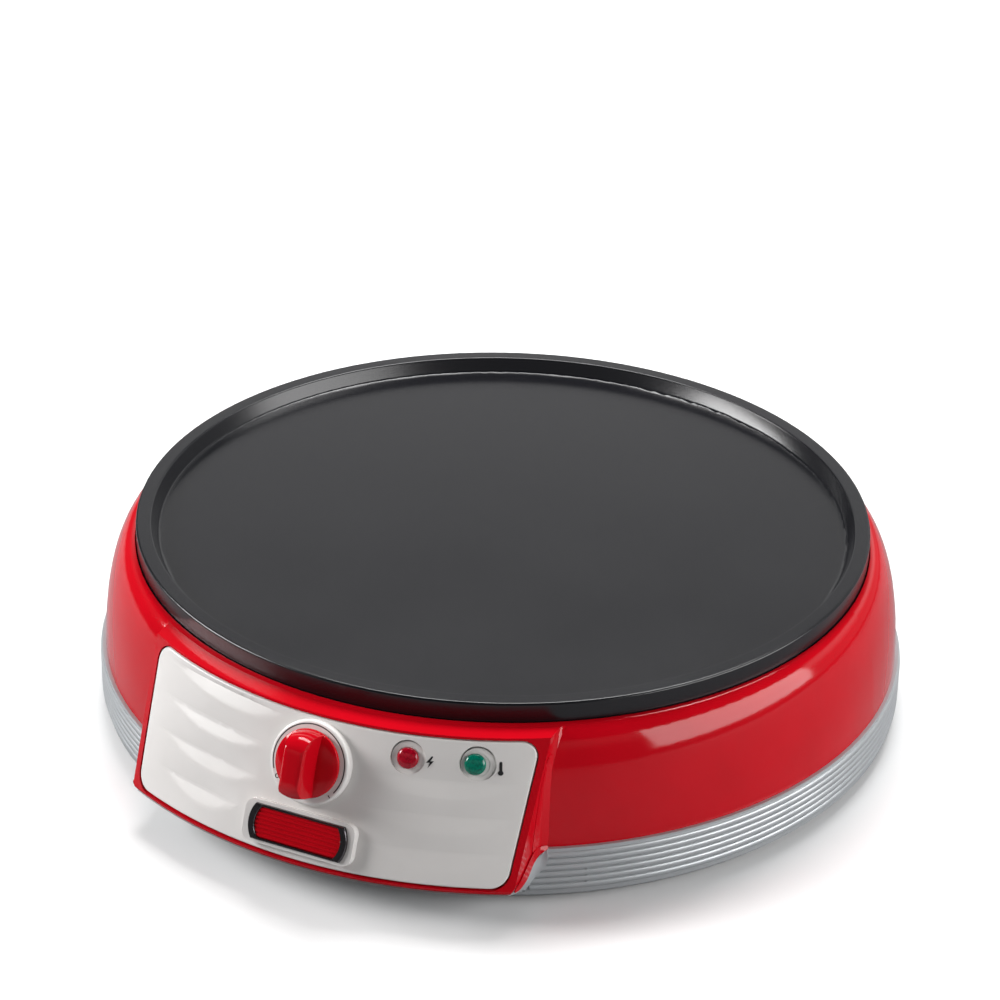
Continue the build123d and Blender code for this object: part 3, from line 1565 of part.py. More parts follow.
with BuildPart() as lamp_wires:
    power_line = tab_end(thermostat_tab_x, thermostat_tab_high)
    add(lead(lamp_end(power_x, power_z, -1) + power_line[::-1], lamp_lead_r))
    heat_line = tab_end(thermostat_tab_x, thermostat_tab_low)
    add(lead(lamp_end(heat_x, heat_z, -1) + heat_line[::-1], lamp_lead_r))
    route = [at(power_x, -boss_pitch_r, high_route_z), at(power_x, boss_pitch_r, low_route_z)]
    add(lead(lamp_end(power_x, power_z, 1) + route + pole_end(4), lamp_lead_r))
    route = [at(side_route_x, -boss_pitch_r, high_route_z), at(side_route_x, boss_pitch_r, low_route_z)]
    add(lead(lamp_end(heat_x, heat_z, 1) + route + pole_end(5), lamp_lead_r))
lamp_wires.part.label = "lamp_wires"

sub_parts = [
    cooking_plate,
    body_shell,
    base_ring,
    rubber_feet,
    base_screws,
    bottom_cover,
    control_panel,
    badge_frame,
    badge_insert,
    power_lamp_lens,
    heat_lamp_lens,
    lamp_sockets,
    neon_lamps,
    control_knob,
    thermostat_shaft,
    knob_spring,
    thermostat_body,
    thermostat_pusher,
    thermostat_tabs,
    thermostat_bracket,
    thermostat_screws,
    bracket_screws,
    heating_element,
    element_tabs,
    element_clips,
    element_clip_screws,
    bulb_clip_screws,
    fuse_clip_screws,
    heat_reflector,
    plate_spacers,
    plate_screws,
    sensor_bulb,
    capillary_tube,
    bulb_clip,
    thermal_fuse,
    fuse_clip,
    cord_bush,
    cord_clamp,
    clamp_screws,
    terminal_block,
    pole_screws,
    block_screws,
    earth_lug,
    earth_screw,
    receptacles,
    line_wire,
    load_wire,
    neutral_wire,
    earth_wire,
    lamp_wires,
]
for sub_part in sub_parts:
    export_step(sub_part.part, f"parts/{sub_part.part.label}.step")
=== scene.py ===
"""Looks of an electric crepe maker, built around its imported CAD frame."""

import logging
from collections.abc import Callable, Sequence
from dataclasses import dataclass
from enum import Enum
from math import atan2, cos, degrees, hypot, pi, radians, sin, sqrt, tan

import bmesh
import bpy
from mathutils import Matrix, Vector


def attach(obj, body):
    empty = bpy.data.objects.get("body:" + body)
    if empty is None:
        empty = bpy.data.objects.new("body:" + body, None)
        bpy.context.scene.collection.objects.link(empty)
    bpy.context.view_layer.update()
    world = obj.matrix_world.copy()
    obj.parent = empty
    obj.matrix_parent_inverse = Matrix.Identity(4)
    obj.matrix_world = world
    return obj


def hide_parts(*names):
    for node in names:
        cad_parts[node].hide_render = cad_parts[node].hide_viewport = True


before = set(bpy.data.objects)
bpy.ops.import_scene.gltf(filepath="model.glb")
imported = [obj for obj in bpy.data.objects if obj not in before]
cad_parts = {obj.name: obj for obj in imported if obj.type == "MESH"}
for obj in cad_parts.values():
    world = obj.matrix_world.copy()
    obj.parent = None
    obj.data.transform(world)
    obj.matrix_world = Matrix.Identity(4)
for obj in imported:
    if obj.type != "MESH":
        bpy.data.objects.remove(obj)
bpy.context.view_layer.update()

log = logging.getLogger("crepe_maker")

MM = 0.001  # metres in a millimetre
WELD = 0.001  # corners this close become one, in millimetres
CUT = 1e-7  # corners this close to a cutting plane lie on it, in metres
AXIS_Y = 9.632  # axis of the plate, ring and control face, in millimetres
MIX_INPUTS = (0, 6, 7)  # a Mix node's factor and its two colours
MIX_OUTPUT = 2  # a Mix node's colour
RAYS = ("Is Camera Ray", "Is Glossy Ray")
Point = tuple[float, float, float]
Colour = tuple[float, float, float]
Spot = tuple[float, float]
Steps = tuple[tuple[float, float, float], ...]  # each a rise in millimetres and a scale across and along
Pairs = tuple[tuple[Point, Point], ...]


# ---- shader helpers


class Value:
    """One shader output; Python operators on it add Math nodes."""

    def __init__(self, shader: "Shader", output: bpy.types.NodeSocket) -> None:
        """Wrap an output socket of a shader's node tree."""
        self.shader = shader
        self.output = output

    def math(self, operation: str, *others: "Value | float") -> "Value":
        """Add one Math node that has this value as its first input."""
        return self.shader.node("ShaderNodeMath", {"operation": operation}, self, *others)

    def __add__(self, other: "Value | float") -> "Value":
        """Add a value or number."""
        return self.math("ADD", other)

    __radd__ = __add__

    def __sub__(self, other: "Value | float") -> "Value":
        """Subtract a value or number."""
        return self.math("SUBTRACT", other)

    def __mul__(self, other: "Value | float") -> "Value":
        """Multiply by a value or number."""
        return self.math("MULTIPLY", other)

    __rmul__ = __mul__

    def __pow__(self, other: "Value | float") -> "Value":
        """Raise to a power."""
        return self.math("POWER", other)

    def step(self, low: float, high: float) -> "Value":
        """Rise smoothly from 0 at low to 1 at high."""
        settings = {"interpolation_type": "SMOOTHSTEP"}
        return self.shader.node("ShaderNodeMapRange", settings, self, low, high)


class Shader:
    """One material with a Principled shader, built by expressions."""

    def __init__(self, name: str) -> None:
        """Start an empty material with its shader and output.

        Args:
            name: The material's name.
        """
        self.material = bpy.data.materials.new(name)
        self.material.use_nodes = True
        self.tree = self.material.node_tree
        self.tree.nodes.clear()
        self.surface = self.tree.nodes.new("ShaderNodeBsdfPrincipled")
        output = self.tree.nodes.new("ShaderNodeOutputMaterial")
        self.tree.links.new(self.surface.outputs[0], output.inputs["Surface"])

    def node(
        self, kind: str, settings: dict[str, str], *inputs: object, result: int | str = 0, **named: object
    ) -> Value:
        """Add a node.

        Args:
            kind: The node's type.
            settings: Attributes set on the node first.
            inputs: Values, numbers or tuples for its sockets, in order.
            result: The output that is returned, by place or name.
            named: Values for sockets by name, with underscores for spaces.

        Returns:
            The chosen output.
        """
        made = self.tree.nodes.new(kind)
        for key, setting in settings.items():
            setattr(made, key, setting)
        for place, item in enumerate(inputs):
            self.feed(made.inputs[place], item)
        for key, item in named.items():
            self.feed(made.inputs[key.replace("_", " ")], item)
        return Value(self, made.outputs[result])

    def feed(self, socket: bpy.types.NodeSocket, item: object) -> None:
        """Link a value to a socket, or set the socket to a number or tuple.

        Args:
            socket: The input socket.
            item: A value, number or tuple.
        """
        if isinstance(item, Value):
            self.tree.links.new(item.output, socket)
        elif isinstance(item, tuple) and len(item) == 3 and socket.type == "RGBA":
            socket.default_value = (*item, 1.0)
        else:
            socket.default_value = item

    def set(self, **inputs: object) -> None:
        """Feed the Principled shader's sockets, named with underscores for spaces."""
        for key, item in inputs.items():
            self.feed(self.surface.inputs[key.replace("_", " ")], item)

    def place(self, space: str = "Object") -> Value:
        """Coordinates in a space."""
        return self.node("ShaderNodeTexCoord", {}, result=space)

    def axes(self, space: str = "Object") -> tuple[Value, ...]:
        """Coordinates in a space as three values, in metres."""
        split = self.node("ShaderNodeSeparateXYZ", {}, self.place(space))
        return tuple(Value(self, output) for output in split.output.node.outputs)

    def noise(self, size: float, detail: float = 2.0, roughness: float = 0.5) -> Value:
        """Noise between 0 and 1, with its largest features of a size in millimetres."""
        settings = {"Scale": 1.0 / (size * MM), "Detail": detail, "Roughness": roughness}
        return self.node("ShaderNodeTexNoise", {}, self.place(), **settings)

    def mix(self, factor: Value | float, first: object, second: object) -> Value:
        """Mix two colours.

        Args:
            factor: 0 gives the first colour and 1 the second.
            first: A colour or value.
            second: A colour or value.

        Returns:
            The mixed colour.
        """
        made = self.tree.nodes.new("ShaderNodeMix")
        made.data_type = "RGBA"
        for place, item in zip(MIX_INPUTS, (factor, first, second)):
            self.feed(made.inputs[place], item)
        return Value(self, made.outputs[MIX_OUTPUT])

    def bump(self, height: Value, depth: float, under: Value | None = None) -> Value:
        """Bump a normal by a height between 0 and 1, with the depth of 1 in millimetres."""
        extra = {} if under is None else {"Normal": under}
        return self.node("ShaderNodeBump", {}, Strength=1.0, Distance=depth * MM, Height=height, **extra)


class Sky(Shader):
    """The world's shader, built by the same expressions."""

    def __init__(self, name: str) -> None:
        """Start a world with its background and let the scene use it.

        Args:
            name: The world's name.
        """
        world = bpy.data.worlds.new(name)
        world.use_nodes = True
        self.tree = world.node_tree
        self.surface = self.tree.nodes["Background"]
        bpy.context.scene.world = world


# ---- finishes


@dataclass(frozen=True)
class Gloss:
    """Glossy moulded plastic with a faint ripple and fine handling marks."""

    name: str
    colour: Colour
    shade: Colour
    roughness: float = 0.12
    ripple: float = 0.004
    shine: float = 0.3
    cloud: float = 35.0
    scuff: float = 0.9
    swell: float = 7.0

    def material(self) -> bpy.types.Material:
        """Build the plastic's material."""
        shader = Shader(self.name)
        cloud = shader.noise(self.cloud, 3.0)
        scuffs = shader.noise(self.scuff, 4.0, 0.7).step(0.6, 0.8)
        shader.set(
            Base_Color=shader.mix(cloud.step(0.35, 0.7), self.colour, self.shade),
            Roughness=self.roughness + 0.04 * cloud + 0.05 * scuffs,
            Normal=shader.bump(shader.noise(self.swell), self.ripple),
            Specular_IOR_Level=self.shine,
        )
        return shader.material


@dataclass(frozen=True)
class Matte:
    """Fine grained moulded plastic, rubber or sleeving."""

    name: str
    colour: Colour
    shade: Colour
    roughness: float = 0.55
    grain: float = 0.5
    depth: float = 0.03
    dust: float = 18.0

    def material(self) -> bpy.types.Material:
        """Build the grained material."""
        shader = Shader(self.name)
        grain = shader.noise(self.grain, 3.0, 0.6)
        dust = shader.noise(self.dust, 4.0, 0.6).step(0.45, 0.75)
        shader.set(
            Base_Color=shader.mix(dust, self.colour, self.shade),
            Roughness=self.roughness + 0.15 * grain,
            Normal=shader.bump(grain, self.depth),
        )
        return shader.material


@dataclass(frozen=True)
class Metal:
    """Bare or plated metal with a fine even grain and soft stains."""

    name: str
    colour: Colour
    shade: Colour
    roughness: float = 0.3
    line: float = 0.15
    depth: float = 0.004
    metallic: float = 1.0
    stain: float = 12.0

    def material(self) -> bpy.types.Material:
        """Build the metal's material."""
        shader = Shader(self.name)
        lines = shader.noise(self.line, 3.0, 0.6)
        stain = shader.noise(self.stain, 3.0, 0.6).step(0.4, 0.8)
        shader.set(
            Base_Color=shader.mix(stain, self.colour, self.shade),
            Metallic=self.metallic,
            Roughness=self.roughness + 0.1 * lines + 0.08 * stain,
            Normal=shader.bump(lines, self.depth),
        )
        return shader.material


@dataclass(frozen=True)
class NonStick:
    """Dark non-stick coating with fine speckle and faint turning waves."""

    name: str
    colour: Colour = (0.004, 0.0042, 0.006)
    fleck: Colour = (0.010, 0.0105, 0.014)
    speck: float = 0.45
    speck_depth: float = 0.02
    cloud: float = 60.0
    groove: float = 9.0
    groove_depth: float = 0.0006

    def material(self) -> bpy.types.Material:
        """Build the coating's material."""
        shader = Shader(self.name)
        across, along, _ = shader.axes()
        offset = along - AXIS_Y * MM
        radius = (across * across + offset * offset) ** 0.5
        flecks = shader.noise(self.speck, 3.0, 0.7)
        cloud = shader.noise(self.cloud, 3.0)
        turning = (radius * (2 * pi / (self.groove * MM))).math("SINE")
        grain = shader.bump(flecks, self.speck_depth)
        shader.set(
            Base_Color=shader.mix(flecks.step(0.55, 0.8), self.colour, self.fleck),
            Roughness=0.19 + 0.06 * cloud + 0.05 * flecks,
            Specular_IOR_Level=0.5,
            Normal=shader.bump(turning, self.groove_depth, grain),
        )
        return shader.material


@dataclass(frozen=True)
class Jewel:
    """Moulded signal lens, deeper in colour between its small facets."""

    name: str
    colour: Colour
    deep: Colour
    facet: float = 0.7
    facet_depth: float = 0.003

    def material(self) -> bpy.types.Material:
        """Build the lens's material."""
        shader = Shader(self.name)
        facets = shader.node("ShaderNodeTexVoronoi", {}, shader.place(), Scale=1.0 / (self.facet * MM))
        shader.set(
            Base_Color=shader.mix(facets.step(0.2, 1.1), self.colour, self.deep),
            Roughness=0.10 + 0.04 * facets,
            Specular_IOR_Level=0.5,
            Normal=shader.bump(facets, self.facet_depth),
        )
        return shader.material


class Finish(Enum):
    """Every finish on the crepe maker."""

    RED = Gloss("red_gloss", (0.52, 0.002, 0.009), (0.48, 0.002, 0.008), 0.07)
    WHITE = Gloss("white_gloss", (0.76, 0.735, 0.715), (0.73, 0.705, 0.685), 0.22, 0.003, 0.5)
    SILVER = Metal("silver_paint", (0.45, 0.47, 0.485), (0.42, 0.44, 0.455), 0.28, 0.12, 0.002, 0.35)
    PLATE = NonStick("plate_coating")
    CHROME = Metal("dark_chrome", (0.15, 0.14, 0.15), (0.10, 0.09, 0.10), 0.12, 0.4, 0.0005)
    RED_LENS = Jewel("red_lens", (0.42, 0.003, 0.018), (0.20, 0.001, 0.008))
    GREEN_LENS = Jewel("green_lens", (0.0, 0.19, 0.12), (0.0, 0.08, 0.055))
    INK = Matte("black_print", (0.012, 0.012, 0.013), (0.018, 0.018, 0.019), 0.35, 0.3, 0.002)
    BLACK = Matte("black_plastic", (0.022, 0.022, 0.024), (0.030, 0.030, 0.031))
    RUBBER = Matte("black_rubber", (0.018, 0.018, 0.018), (0.030, 0.029, 0.028), 0.7, 0.8, 0.05)
    STEEL = Metal("zinc_steel", (0.55, 0.56, 0.58), (0.44, 0.45, 0.46))
    BRIGHT = Metal("aluminised_sheet", (0.66, 0.66, 0.67), (0.56, 0.56, 0.57), 0.35, 0.6)
    ELEMENT = Metal("heat_dark_steel", (0.14, 0.13, 0.13), (0.22, 0.17, 0.14), 0.45, 0.4)
    COPPER = Metal("drawn_copper", (0.60, 0.27, 0.15), (0.45, 0.20, 0.12))
    BRASS = Metal("plain_brass", (0.62, 0.45, 0.18), (0.50, 0.36, 0.15))
    PHENOLIC = Matte("phenolic", (0.045, 0.030, 0.026), (0.065, 0.045, 0.038))
    PALE = Matte("pale_nylon", (0.72, 0.70, 0.62), (0.66, 0.63, 0.55), 0.45)
    CERAMIC = Matte("ceramic", (0.80, 0.77, 0.70), (0.72, 0.69, 0.62), 0.6)
    GLASS = Gloss("lamp_glass", (0.70, 0.55, 0.42), (0.62, 0.48, 0.36), 0.05, 0.004, 0.5)
    SLEEVE_WHITE = Matte("white_sleeving", (0.72, 0.72, 0.70), (0.66, 0.66, 0.63), 0.5)
    SLEEVE_BROWN = Matte("brown_sleeving", (0.13, 0.05, 0.018), (0.17, 0.07, 0.03), 0.5)
    SLEEVE_BLACK = Matte("black_sleeving", (0.02, 0.02, 0.02), (0.03, 0.03, 0.03), 0.5)
    SLEEVE_BLUE = Matte("blue_sleeving", (0.015, 0.09, 0.42), (0.02, 0.12, 0.48), 0.5)
    SLEEVE_GREEN = Matte("green_sleeving", (0.22, 0.42, 0.03), (0.30, 0.48, 0.05), 0.5)


class Workshop:
    """Finds CAD nodes and gives them and new pieces their finishes."""

    def __init__(self) -> None:
        """Start with no materials made."""
        self.made: dict[Finish, bpy.types.Material] = {}

    def material(self, finish: Finish) -> bpy.types.Material:
        """Return a finish's material, building it at its first use.

        Args:
            finish: The finish.

        Returns:
            Its material.
        """
        if finish not in self.made:
            self.made[finish] = finish.value.material()
        return self.made[finish]

    def dress(self, node: str, finish: Finish) -> None:
        """Give a CAD node one finish.

        Args:
            node: The node's name.
            finish: Its finish.
        """
        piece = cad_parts[node]
        piece.data.materials.clear()
        piece.data.materials.append(self.material(finish))
        log.info("dressed %s in %s", node, finish.name)

    def finish(self, piece: bpy.types.Object, finish: Finish, body: str) -> None:
        """Give a new piece its finish and let it ride on a body.

        Args:
            piece: The piece.
            finish: Its finish.
            body: The body that it moves with.
        """
        piece.data.materials.clear()
        piece.data.materials.append(self.material(finish))
        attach(piece, body)
        log.info("made %s in %s, riding on %s", piece.name, finish.name, body)


@dataclass
class Assembly:
    """One sub-assembly, finished in a workshop."""

    shop: Workshop


# ---- modelling by hand


class Piece:
    """One new mesh on the bench, shaped in edit mode."""

    def __init__(self, name: str) -> None:
        """Take the active object and name it.

        Args:
            name: The piece's name.
        """
        self.object = bpy.context.active_object
        self.object.name = name
        self.object.data.name = name

    @classmethod
    def circle(cls, name: str, radius: float, segments: int, filled: bool = False) -> "Piece":
        """Start from a flat circle about the origin.

        Args:
            name: The piece's name.
            radius: Its radius, in millimetres.
            segments: Number of its corners.
            filled: Whether it starts as a face.

        Returns:
            The piece.
        """
        bpy.ops.object.select_all(action="DESELECT")
        fill = "NGON" if filled else "NOTHING"
        bpy.ops.mesh.primitive_circle_add(vertices=segments, radius=radius * MM, fill_type=fill)
        return cls(name)

    @classmethod
    def turned(cls, name: str, radius: float, segments: int, steps: Steps) -> "Piece":
        """Draw a round piece up from a disc, step by step.

        Args:
            name: The piece's name.
            radius: The disc's radius, in millimetres.
            segments: Number of its corners.
            steps: The steps.

        Returns:
            The piece.
        """
        piece = cls.circle(name, radius, segments, filled=True)
        piece.edit()
        bpy.ops.mesh.select_all(action="SELECT")
        piece.rise(steps)
        piece.outwards()
        return piece

    @classmethod
    def outline(cls, name: str, corners: Sequence[Point]) -> "Piece":
        """Start from one face with these corners, in edit mode and selected.

        Args:
            name: The piece's name.
            corners: Its corners in order, in millimetres.

        Returns:
            The piece.
        """
        piece = cls.circle(name, 1.0, len(corners), filled=True)
        piece.edit()
        piece.move(corners)
        bpy.ops.mesh.select_all(action="SELECT")
        return piece

    @classmethod
    def sheet(cls, name: str, rows: Sequence[Sequence[Point]]) -> "Piece":
        """Start from a grid laid through rows of points.

        Args:
            name: The piece's name.
            rows: Rows of the same number of points each, in millimetres.

        Returns:
            The piece.
        """
        bpy.ops.object.select_all(action="DESELECT")
        across, along = len(rows[0]) - 1, len(rows) - 1
        bpy.ops.mesh.primitive_grid_add(x_subdivisions=across, y_subdivisions=along, size=1.0)
        piece = cls(name)
        piece.edit()
        piece.move([spot for row in rows for spot in row])
        return piece

    @classmethod
    def copy(cls, node: str, name: str) -> "Piece":
        """Start from a CAD node's shape, with its loose triangles joined.

        Args:
            node: The CAD node.
            name: The piece's name.

        Returns:
            The piece.
        """
        made = bpy.data.objects.new(name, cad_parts[node].data.copy())
        bpy.context.scene.collection.objects.link(made)
        bpy.ops.object.select_all(action="DESELECT")
        made.select_set(True)
        bpy.context.view_layer.objects.active = made
        bpy.ops.mesh.customdata_custom_splitnormals_clear()
        piece = cls(name)
        piece.edit()
        bpy.ops.mesh.select_all(action="SELECT")
        bpy.ops.mesh.remove_doubles(threshold=WELD * MM)
        return piece

    def edit(self) -> None:
        """Go into edit mode, to select by corners."""
        bpy.ops.object.mode_set(mode="EDIT")
        bpy.ops.mesh.select_mode(type="VERT")

    def leave(self) -> None:
        """Go back to object mode."""
        if bpy.context.mode != "OBJECT":
            bpy.ops.object.mode_set(mode="OBJECT")

    def move(self, spots: Sequence[Point]) -> None:
        """Put every corner at its spot.

        Args:
            spots: One spot for each corner, in millimetres.
        """
        mesh = bmesh.from_edit_mesh(self.object.data)
        for corner, spot in zip(mesh.verts, spots):
            corner.co = Vector(spot) * MM
        bmesh.update_edit_mesh(self.object.data)

    def outwards(self) -> None:
        """Turn every face outwards."""
        bpy.ops.mesh.select_all(action="SELECT")
        bpy.ops.mesh.normals_make_consistent(inside=False)

    def pick(self, test: Callable[[bmesh.types.BMFace], bool]) -> None:
        """Select the faces that pass a test, and nothing else.

        Args:
            test: Says whether a face is picked.
        """
        bpy.ops.mesh.select_mode(type="FACE")
        bpy.ops.mesh.select_all(action="DESELECT")
        mesh = bmesh.from_edit_mesh(self.object.data)
        for face in mesh.faces:
            if test(face):
                face.select = True
        mesh.select_flush_mode()
        bmesh.update_edit_mesh(self.object.data)

    def slices(self, spots: Sequence[float], normal: Point) -> None:
        """Cut the marked faces along parallel planes.

        Args:
            spots: Distances of the planes from the origin, in millimetres.
            normal: The planes' normal.
        """
        for spot in spots:
            self.pick(lambda face: face.material_index == 1)
            bpy.ops.mesh.bisect(plane_co=Vector(normal) * spot * MM, plane_no=normal, threshold=CUT)

    def rise(self, steps: Steps) -> None:
        """Extrude the selected outline or face upwards step by step.

        Args:
            steps: The steps.
        """
        for up, across, along in steps:
            bpy.ops.mesh.extrude_region()
            bpy.ops.transform.translate(value=(0.0, 0.0, up * MM))
            bpy.ops.transform.resize(value=(across, along, 1.0), center_override=(0.0, 0.0, 0.0))

    def thicken(self, depth: float) -> None:
        """Give a flat sheet its thickness, out from its face.

        Args:
            depth: The thickness in millimetres, negative for the other way.
        """
        self.leave()
        solidify = self.object.modifiers.new("thickness", "SOLIDIFY")
        solidify.thickness = depth * MM
        solidify.offset = 1.0
        bpy.ops.object.modifier_apply(modifier=solidify.name)

    def done(self, place: Matrix | None = None, smooth: float | None = 30.0) -> bpy.types.Object:
        """Leave edit mode, put the mesh in its place and shade it.

        Args:
            place: Where the mesh goes.
            smooth: Largest angle that still shades smoothly, in degrees; None leaves it flat.

        Returns:
            The finished object.
        """
        self.leave()
        if place is not None:
            self.object.data.transform(place)
        if smooth is not None:
            bpy.ops.object.shade_smooth_by_angle(angle=radians(smooth))
        return self.object


# ---- control face


@dataclass(frozen=True)
class Face:
    """The control face: a cone about the body's axis, in millimetres."""

    tilt: float = 21.83
    top_r: float = 161.0
    top_z: float = 69.1
    low_z: float = 17.7
    low_half: float = 78.3
    dial_z: float = 53.5

    def radius(self, z: float) -> float:
        """Radius of the cone at a height."""
        return self.top_r + (self.top_z - z) * tan(radians(self.tilt))

    def frame_at(self, x: float, z: float, out: float = 0.0) -> Matrix:
        """Placement on the face, with its own z axis pointing out of it.

        Args:
            x: Distance from the middle.
            z: Height.
            out: Distance out of the face.

        Returns:
            The placement, in metres.
        """
        forward = sqrt(self.radius(z) ** 2 - x * x)
        turn = Matrix.Rotation(atan2(x, forward), 4, "Z")
        lean = Matrix.Rotation(radians(90.0 - self.tilt), 4, "X")
        spot = Vector((x, AXIS_Y - forward, z))
        basis = turn @ lean
        outward = basis.to_3x3() @ Vector((0.0, 0.0, 1.0))
        return Matrix.Translation((spot + outward * out) * MM) @ basis


FACE = Face()


@dataclass(frozen=True)
class Wave:
    """One pressed wave: a crease with a crescent ledge below it, in millimetres."""

    crease: float
    start: float
    end: float
    height: float = 6.5
    depth: float = 1.5
    fade: float = 9.0

    def relief(self, x: float, z: float, top: float) -> float:
        """How far the face lies in at a point.

        Args:
            x: Distance from the middle.
            z: Height.
            top: Height at which every relief has faded out.

        Returns:
            The depth.
        """
        share = (x - self.start) / (self.end - self.start)
        if not 0.0 < share < 1.0:
            return 0.0
        swell = sin(pi * share**1.2)
        if z <= self.crease:
            return self.depth * swell * max(0.0, 1.0 - (self.crease - z) / (self.height * swell))
        fade = min(self.fade, top - self.crease)
        return self.depth * swell * max(0.0, 1.0 - (z - self.crease) / fade) ** 1.5


@dataclass
class ControlPanel(Assembly):
    """White panel with its pressed waves, in millimetres."""

    waves: tuple[Wave, ...] = (
        Wave(66.6, -76.0, -14.0, 6.0, 1.3),
        Wave(54.5, -75.0, -20.5),
        Wave(42.2, -73.0, -21.5),
        Wave(29.8, -69.5, -28.0, 5.8, 1.4),
        Wave(54.5, 18.5, 77.0, 7.5, 0.8),
        Wave(42.2, 20.0, 77.0, 7.5, 0.8),
        Wave(29.8, 26.0, 76.0, 7.5, 0.8),
    )
    row: float = 0.9
    column: float = 2.2
    first_row: float = 1.2
    row_trim: float = 2.0
    row_clear: float = 0.6
    top_rim: float = 1.0
    sharp: float = 0.25
    touch: float = 0.012
    facing: float = -0.4

    def relief(self, x: float, z: float) -> float:
        """How far the pressed waves lie in at a point of the face."""
        return max(wave.relief(x, z, FACE.top_z - self.top_rim) for wave in self.waves)

    def on_face(self, face: bmesh.types.BMFace) -> bool:
        """Whether a face of the plain panel lies on its front cone.

        Args:
            face: The face.

        Returns:
            True where it does.
        """
        spots = [corner.co / MM for corner in face.verts]
        off = (abs(hypot(spot.x, spot.y - AXIS_Y) - FACE.radius(spot.z)) for spot in spots)
        return face.normal.y < self.facing and all(gap < self.touch for gap in off)

    def press(self, piece: Piece) -> None:
        """Lay the front's vertices on the cone and press the waves in.

        Args:
            piece: The copied panel, with its front marked by the second material.
        """
        mesh = bmesh.from_edit_mesh(piece.object.data)
        front = [face for face in mesh.faces if face.material_index == 1]
        for face in front:
            face.material_index = 0
        for corner in {corner for face in front for corner in face.verts}:
            x, y, z = corner.co / MM
            share = (FACE.radius(z) - self.relief(x, z)) / hypot(x, y - AXIS_Y)
            corner.co.x = x * share * MM
            corner.co.y = (AXIS_Y + (y - AXIS_Y) * share) * MM
        bmesh.update_edit_mesh(piece.object.data)

    def build(self) -> None:
        """Model the panel in place of the plain one."""
        piece = Piece.copy("control_panel", "panel_pressed")
        count = int((FACE.top_z - FACE.low_z - self.row_trim) / self.row)
        rows = {round(FACE.low_z + self.first_row + self.row * place, 3) for place in range(count)}
        for wave in self.waves:
            rows = {z for z in rows if abs(z - wave.crease) > self.row_clear * self.row}
            rows |= {wave.crease, wave.crease + self.sharp}
        mesh = bmesh.from_edit_mesh(piece.object.data)
        for face in mesh.faces:
            face.material_index = int(self.on_face(face))
        piece.slices(sorted(rows), (0.0, 0.0, 1.0))
        count = int(FACE.low_half / self.column)
        piece.slices([self.column * place for place in range(-count, count + 1)], (1.0, 0.0, 0.0))
        self.press(piece)
        panel = piece.done(smooth=35.0)
        self.shop.finish(panel, Finish.WHITE, "cooker")
        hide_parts("control_panel")


GAUGE_HALF = ((0.3, 2.5), (0.55, 2.1), (0.55, -0.9), (0.95, -1.35), (1.05, -1.9), (0.75, -2.4), (0.3, -2.65))


class Mark(Enum):
    """The small printed marks beside the lamps, as outlines in millimetres."""

    BOLT = ((0.55, 2.3), (-1.45, -0.35), (-0.15, -0.2), (-0.75, -2.3), (1.45, 0.5), (0.1, 0.35), (1.1, 2.1))
    GAUGE = (*GAUGE_HALF, *((-x, y) for x, y in reversed(GAUGE_HALF)))


